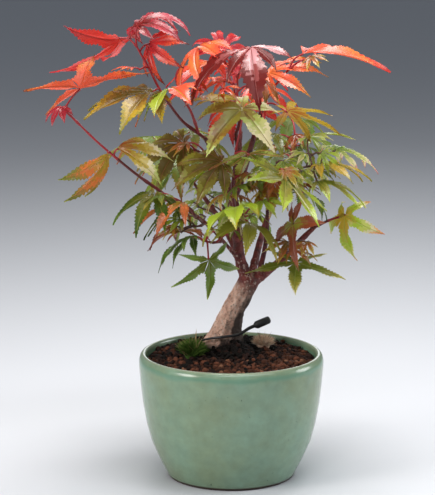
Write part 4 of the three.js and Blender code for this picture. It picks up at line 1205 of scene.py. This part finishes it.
# Stage, light and camera
# A plain pale floor, broad soft lights overhead and from the left, and weak ones from the front,
# the right and behind.
FLOOR_PAINT = (0.60, 0.61, 0.635)
FLOOR_RADIUS = 9
ROOM_LIGHT = (0.80, 0.88, 1.0)
ROOM_STRENGTH = 0.19
FOCAL_PIXELS = 2062
PHOTO_LONG_SIDE = 495
SENSOR_WIDTH = 36
CAMERA_PLACE = (-0.00685, -1.0, 0.3076)
CAMERA_DIP = 10.88


def build_floor():
    bm = bmesh.new()
    bmesh.ops.create_circle(bm, cap_ends=True, segments=64, radius=FLOOR_RADIUS)
    floor = new_object("floor", mesh_from("floor", bm, smooth=False))
    material, tree, shader = new_material("floor_plain")
    feed(tree, shader, Base_Color=FLOOR_PAINT, Roughness=0.7)
    floor.data.materials.append(material)


def add_light(name, place, target, size, power, colour, spread=180, width=None):
    data = bpy.data.lights.new(name, "AREA")
    data.shape = "DISK" if width is None else "RECTANGLE"
    data.size = width or size
    data.size_y = size
    data.energy = power
    data.color = colour
    data.spread = math.radians(spread)
    light = new_object(name, data)
    light.location = place
    light.rotation_euler = (Vector(target) - Vector(place)).to_track_quat("-Z", "Y").to_euler()


def fill_room():
    world = bpy.data.worlds.new("soft_room")
    world.use_nodes = True
    feed(world.node_tree, world.node_tree.nodes["Background"], Color=ROOM_LIGHT, Strength=ROOM_STRENGTH)
    bpy.context.scene.world = world
    bpy.context.scene.view_settings.view_transform = "Standard"


def set_camera():
    camera = new_object("camera", bpy.data.cameras.new("camera"))
    camera.data.lens = FOCAL_PIXELS * SENSOR_WIDTH / PHOTO_LONG_SIDE
    camera.data.sensor_width = SENSOR_WIDTH
    camera.data.clip_end = 50
    camera.location = CAMERA_PLACE
    camera.rotation_euler = (math.radians(90 - CAMERA_DIP), 0, 0)
    bpy.context.scene.camera = camera


build_floor()
add_light("overhead", (0.02, 0.06, 0.72), (0, 0, 0.1), 0.36, 4.8, (1.0, 0.98, 0.96))
add_light("left", (-0.75, -0.45, 0.5), (0, 0, 0.12), 0.4, 5.0, (1.0, 0.97, 0.94))
add_light("front", (0.18, -0.42, 0.85), (0, 0, 0.08), 0.15, 3.6, (0.97, 0.98, 1.0), width=0.9)
add_light("right", (0.8, 0.15, 0.3), (0, 0, 0.06), 0.35, 2.6, (0.95, 0.98, 1.0))
add_light("behind", (0.1, 1.4, 0.62), (0, 0, 0.2), 0.8, 0.35, (0.93, 0.97, 1.0), spread=50)
fill_room()
set_camera()
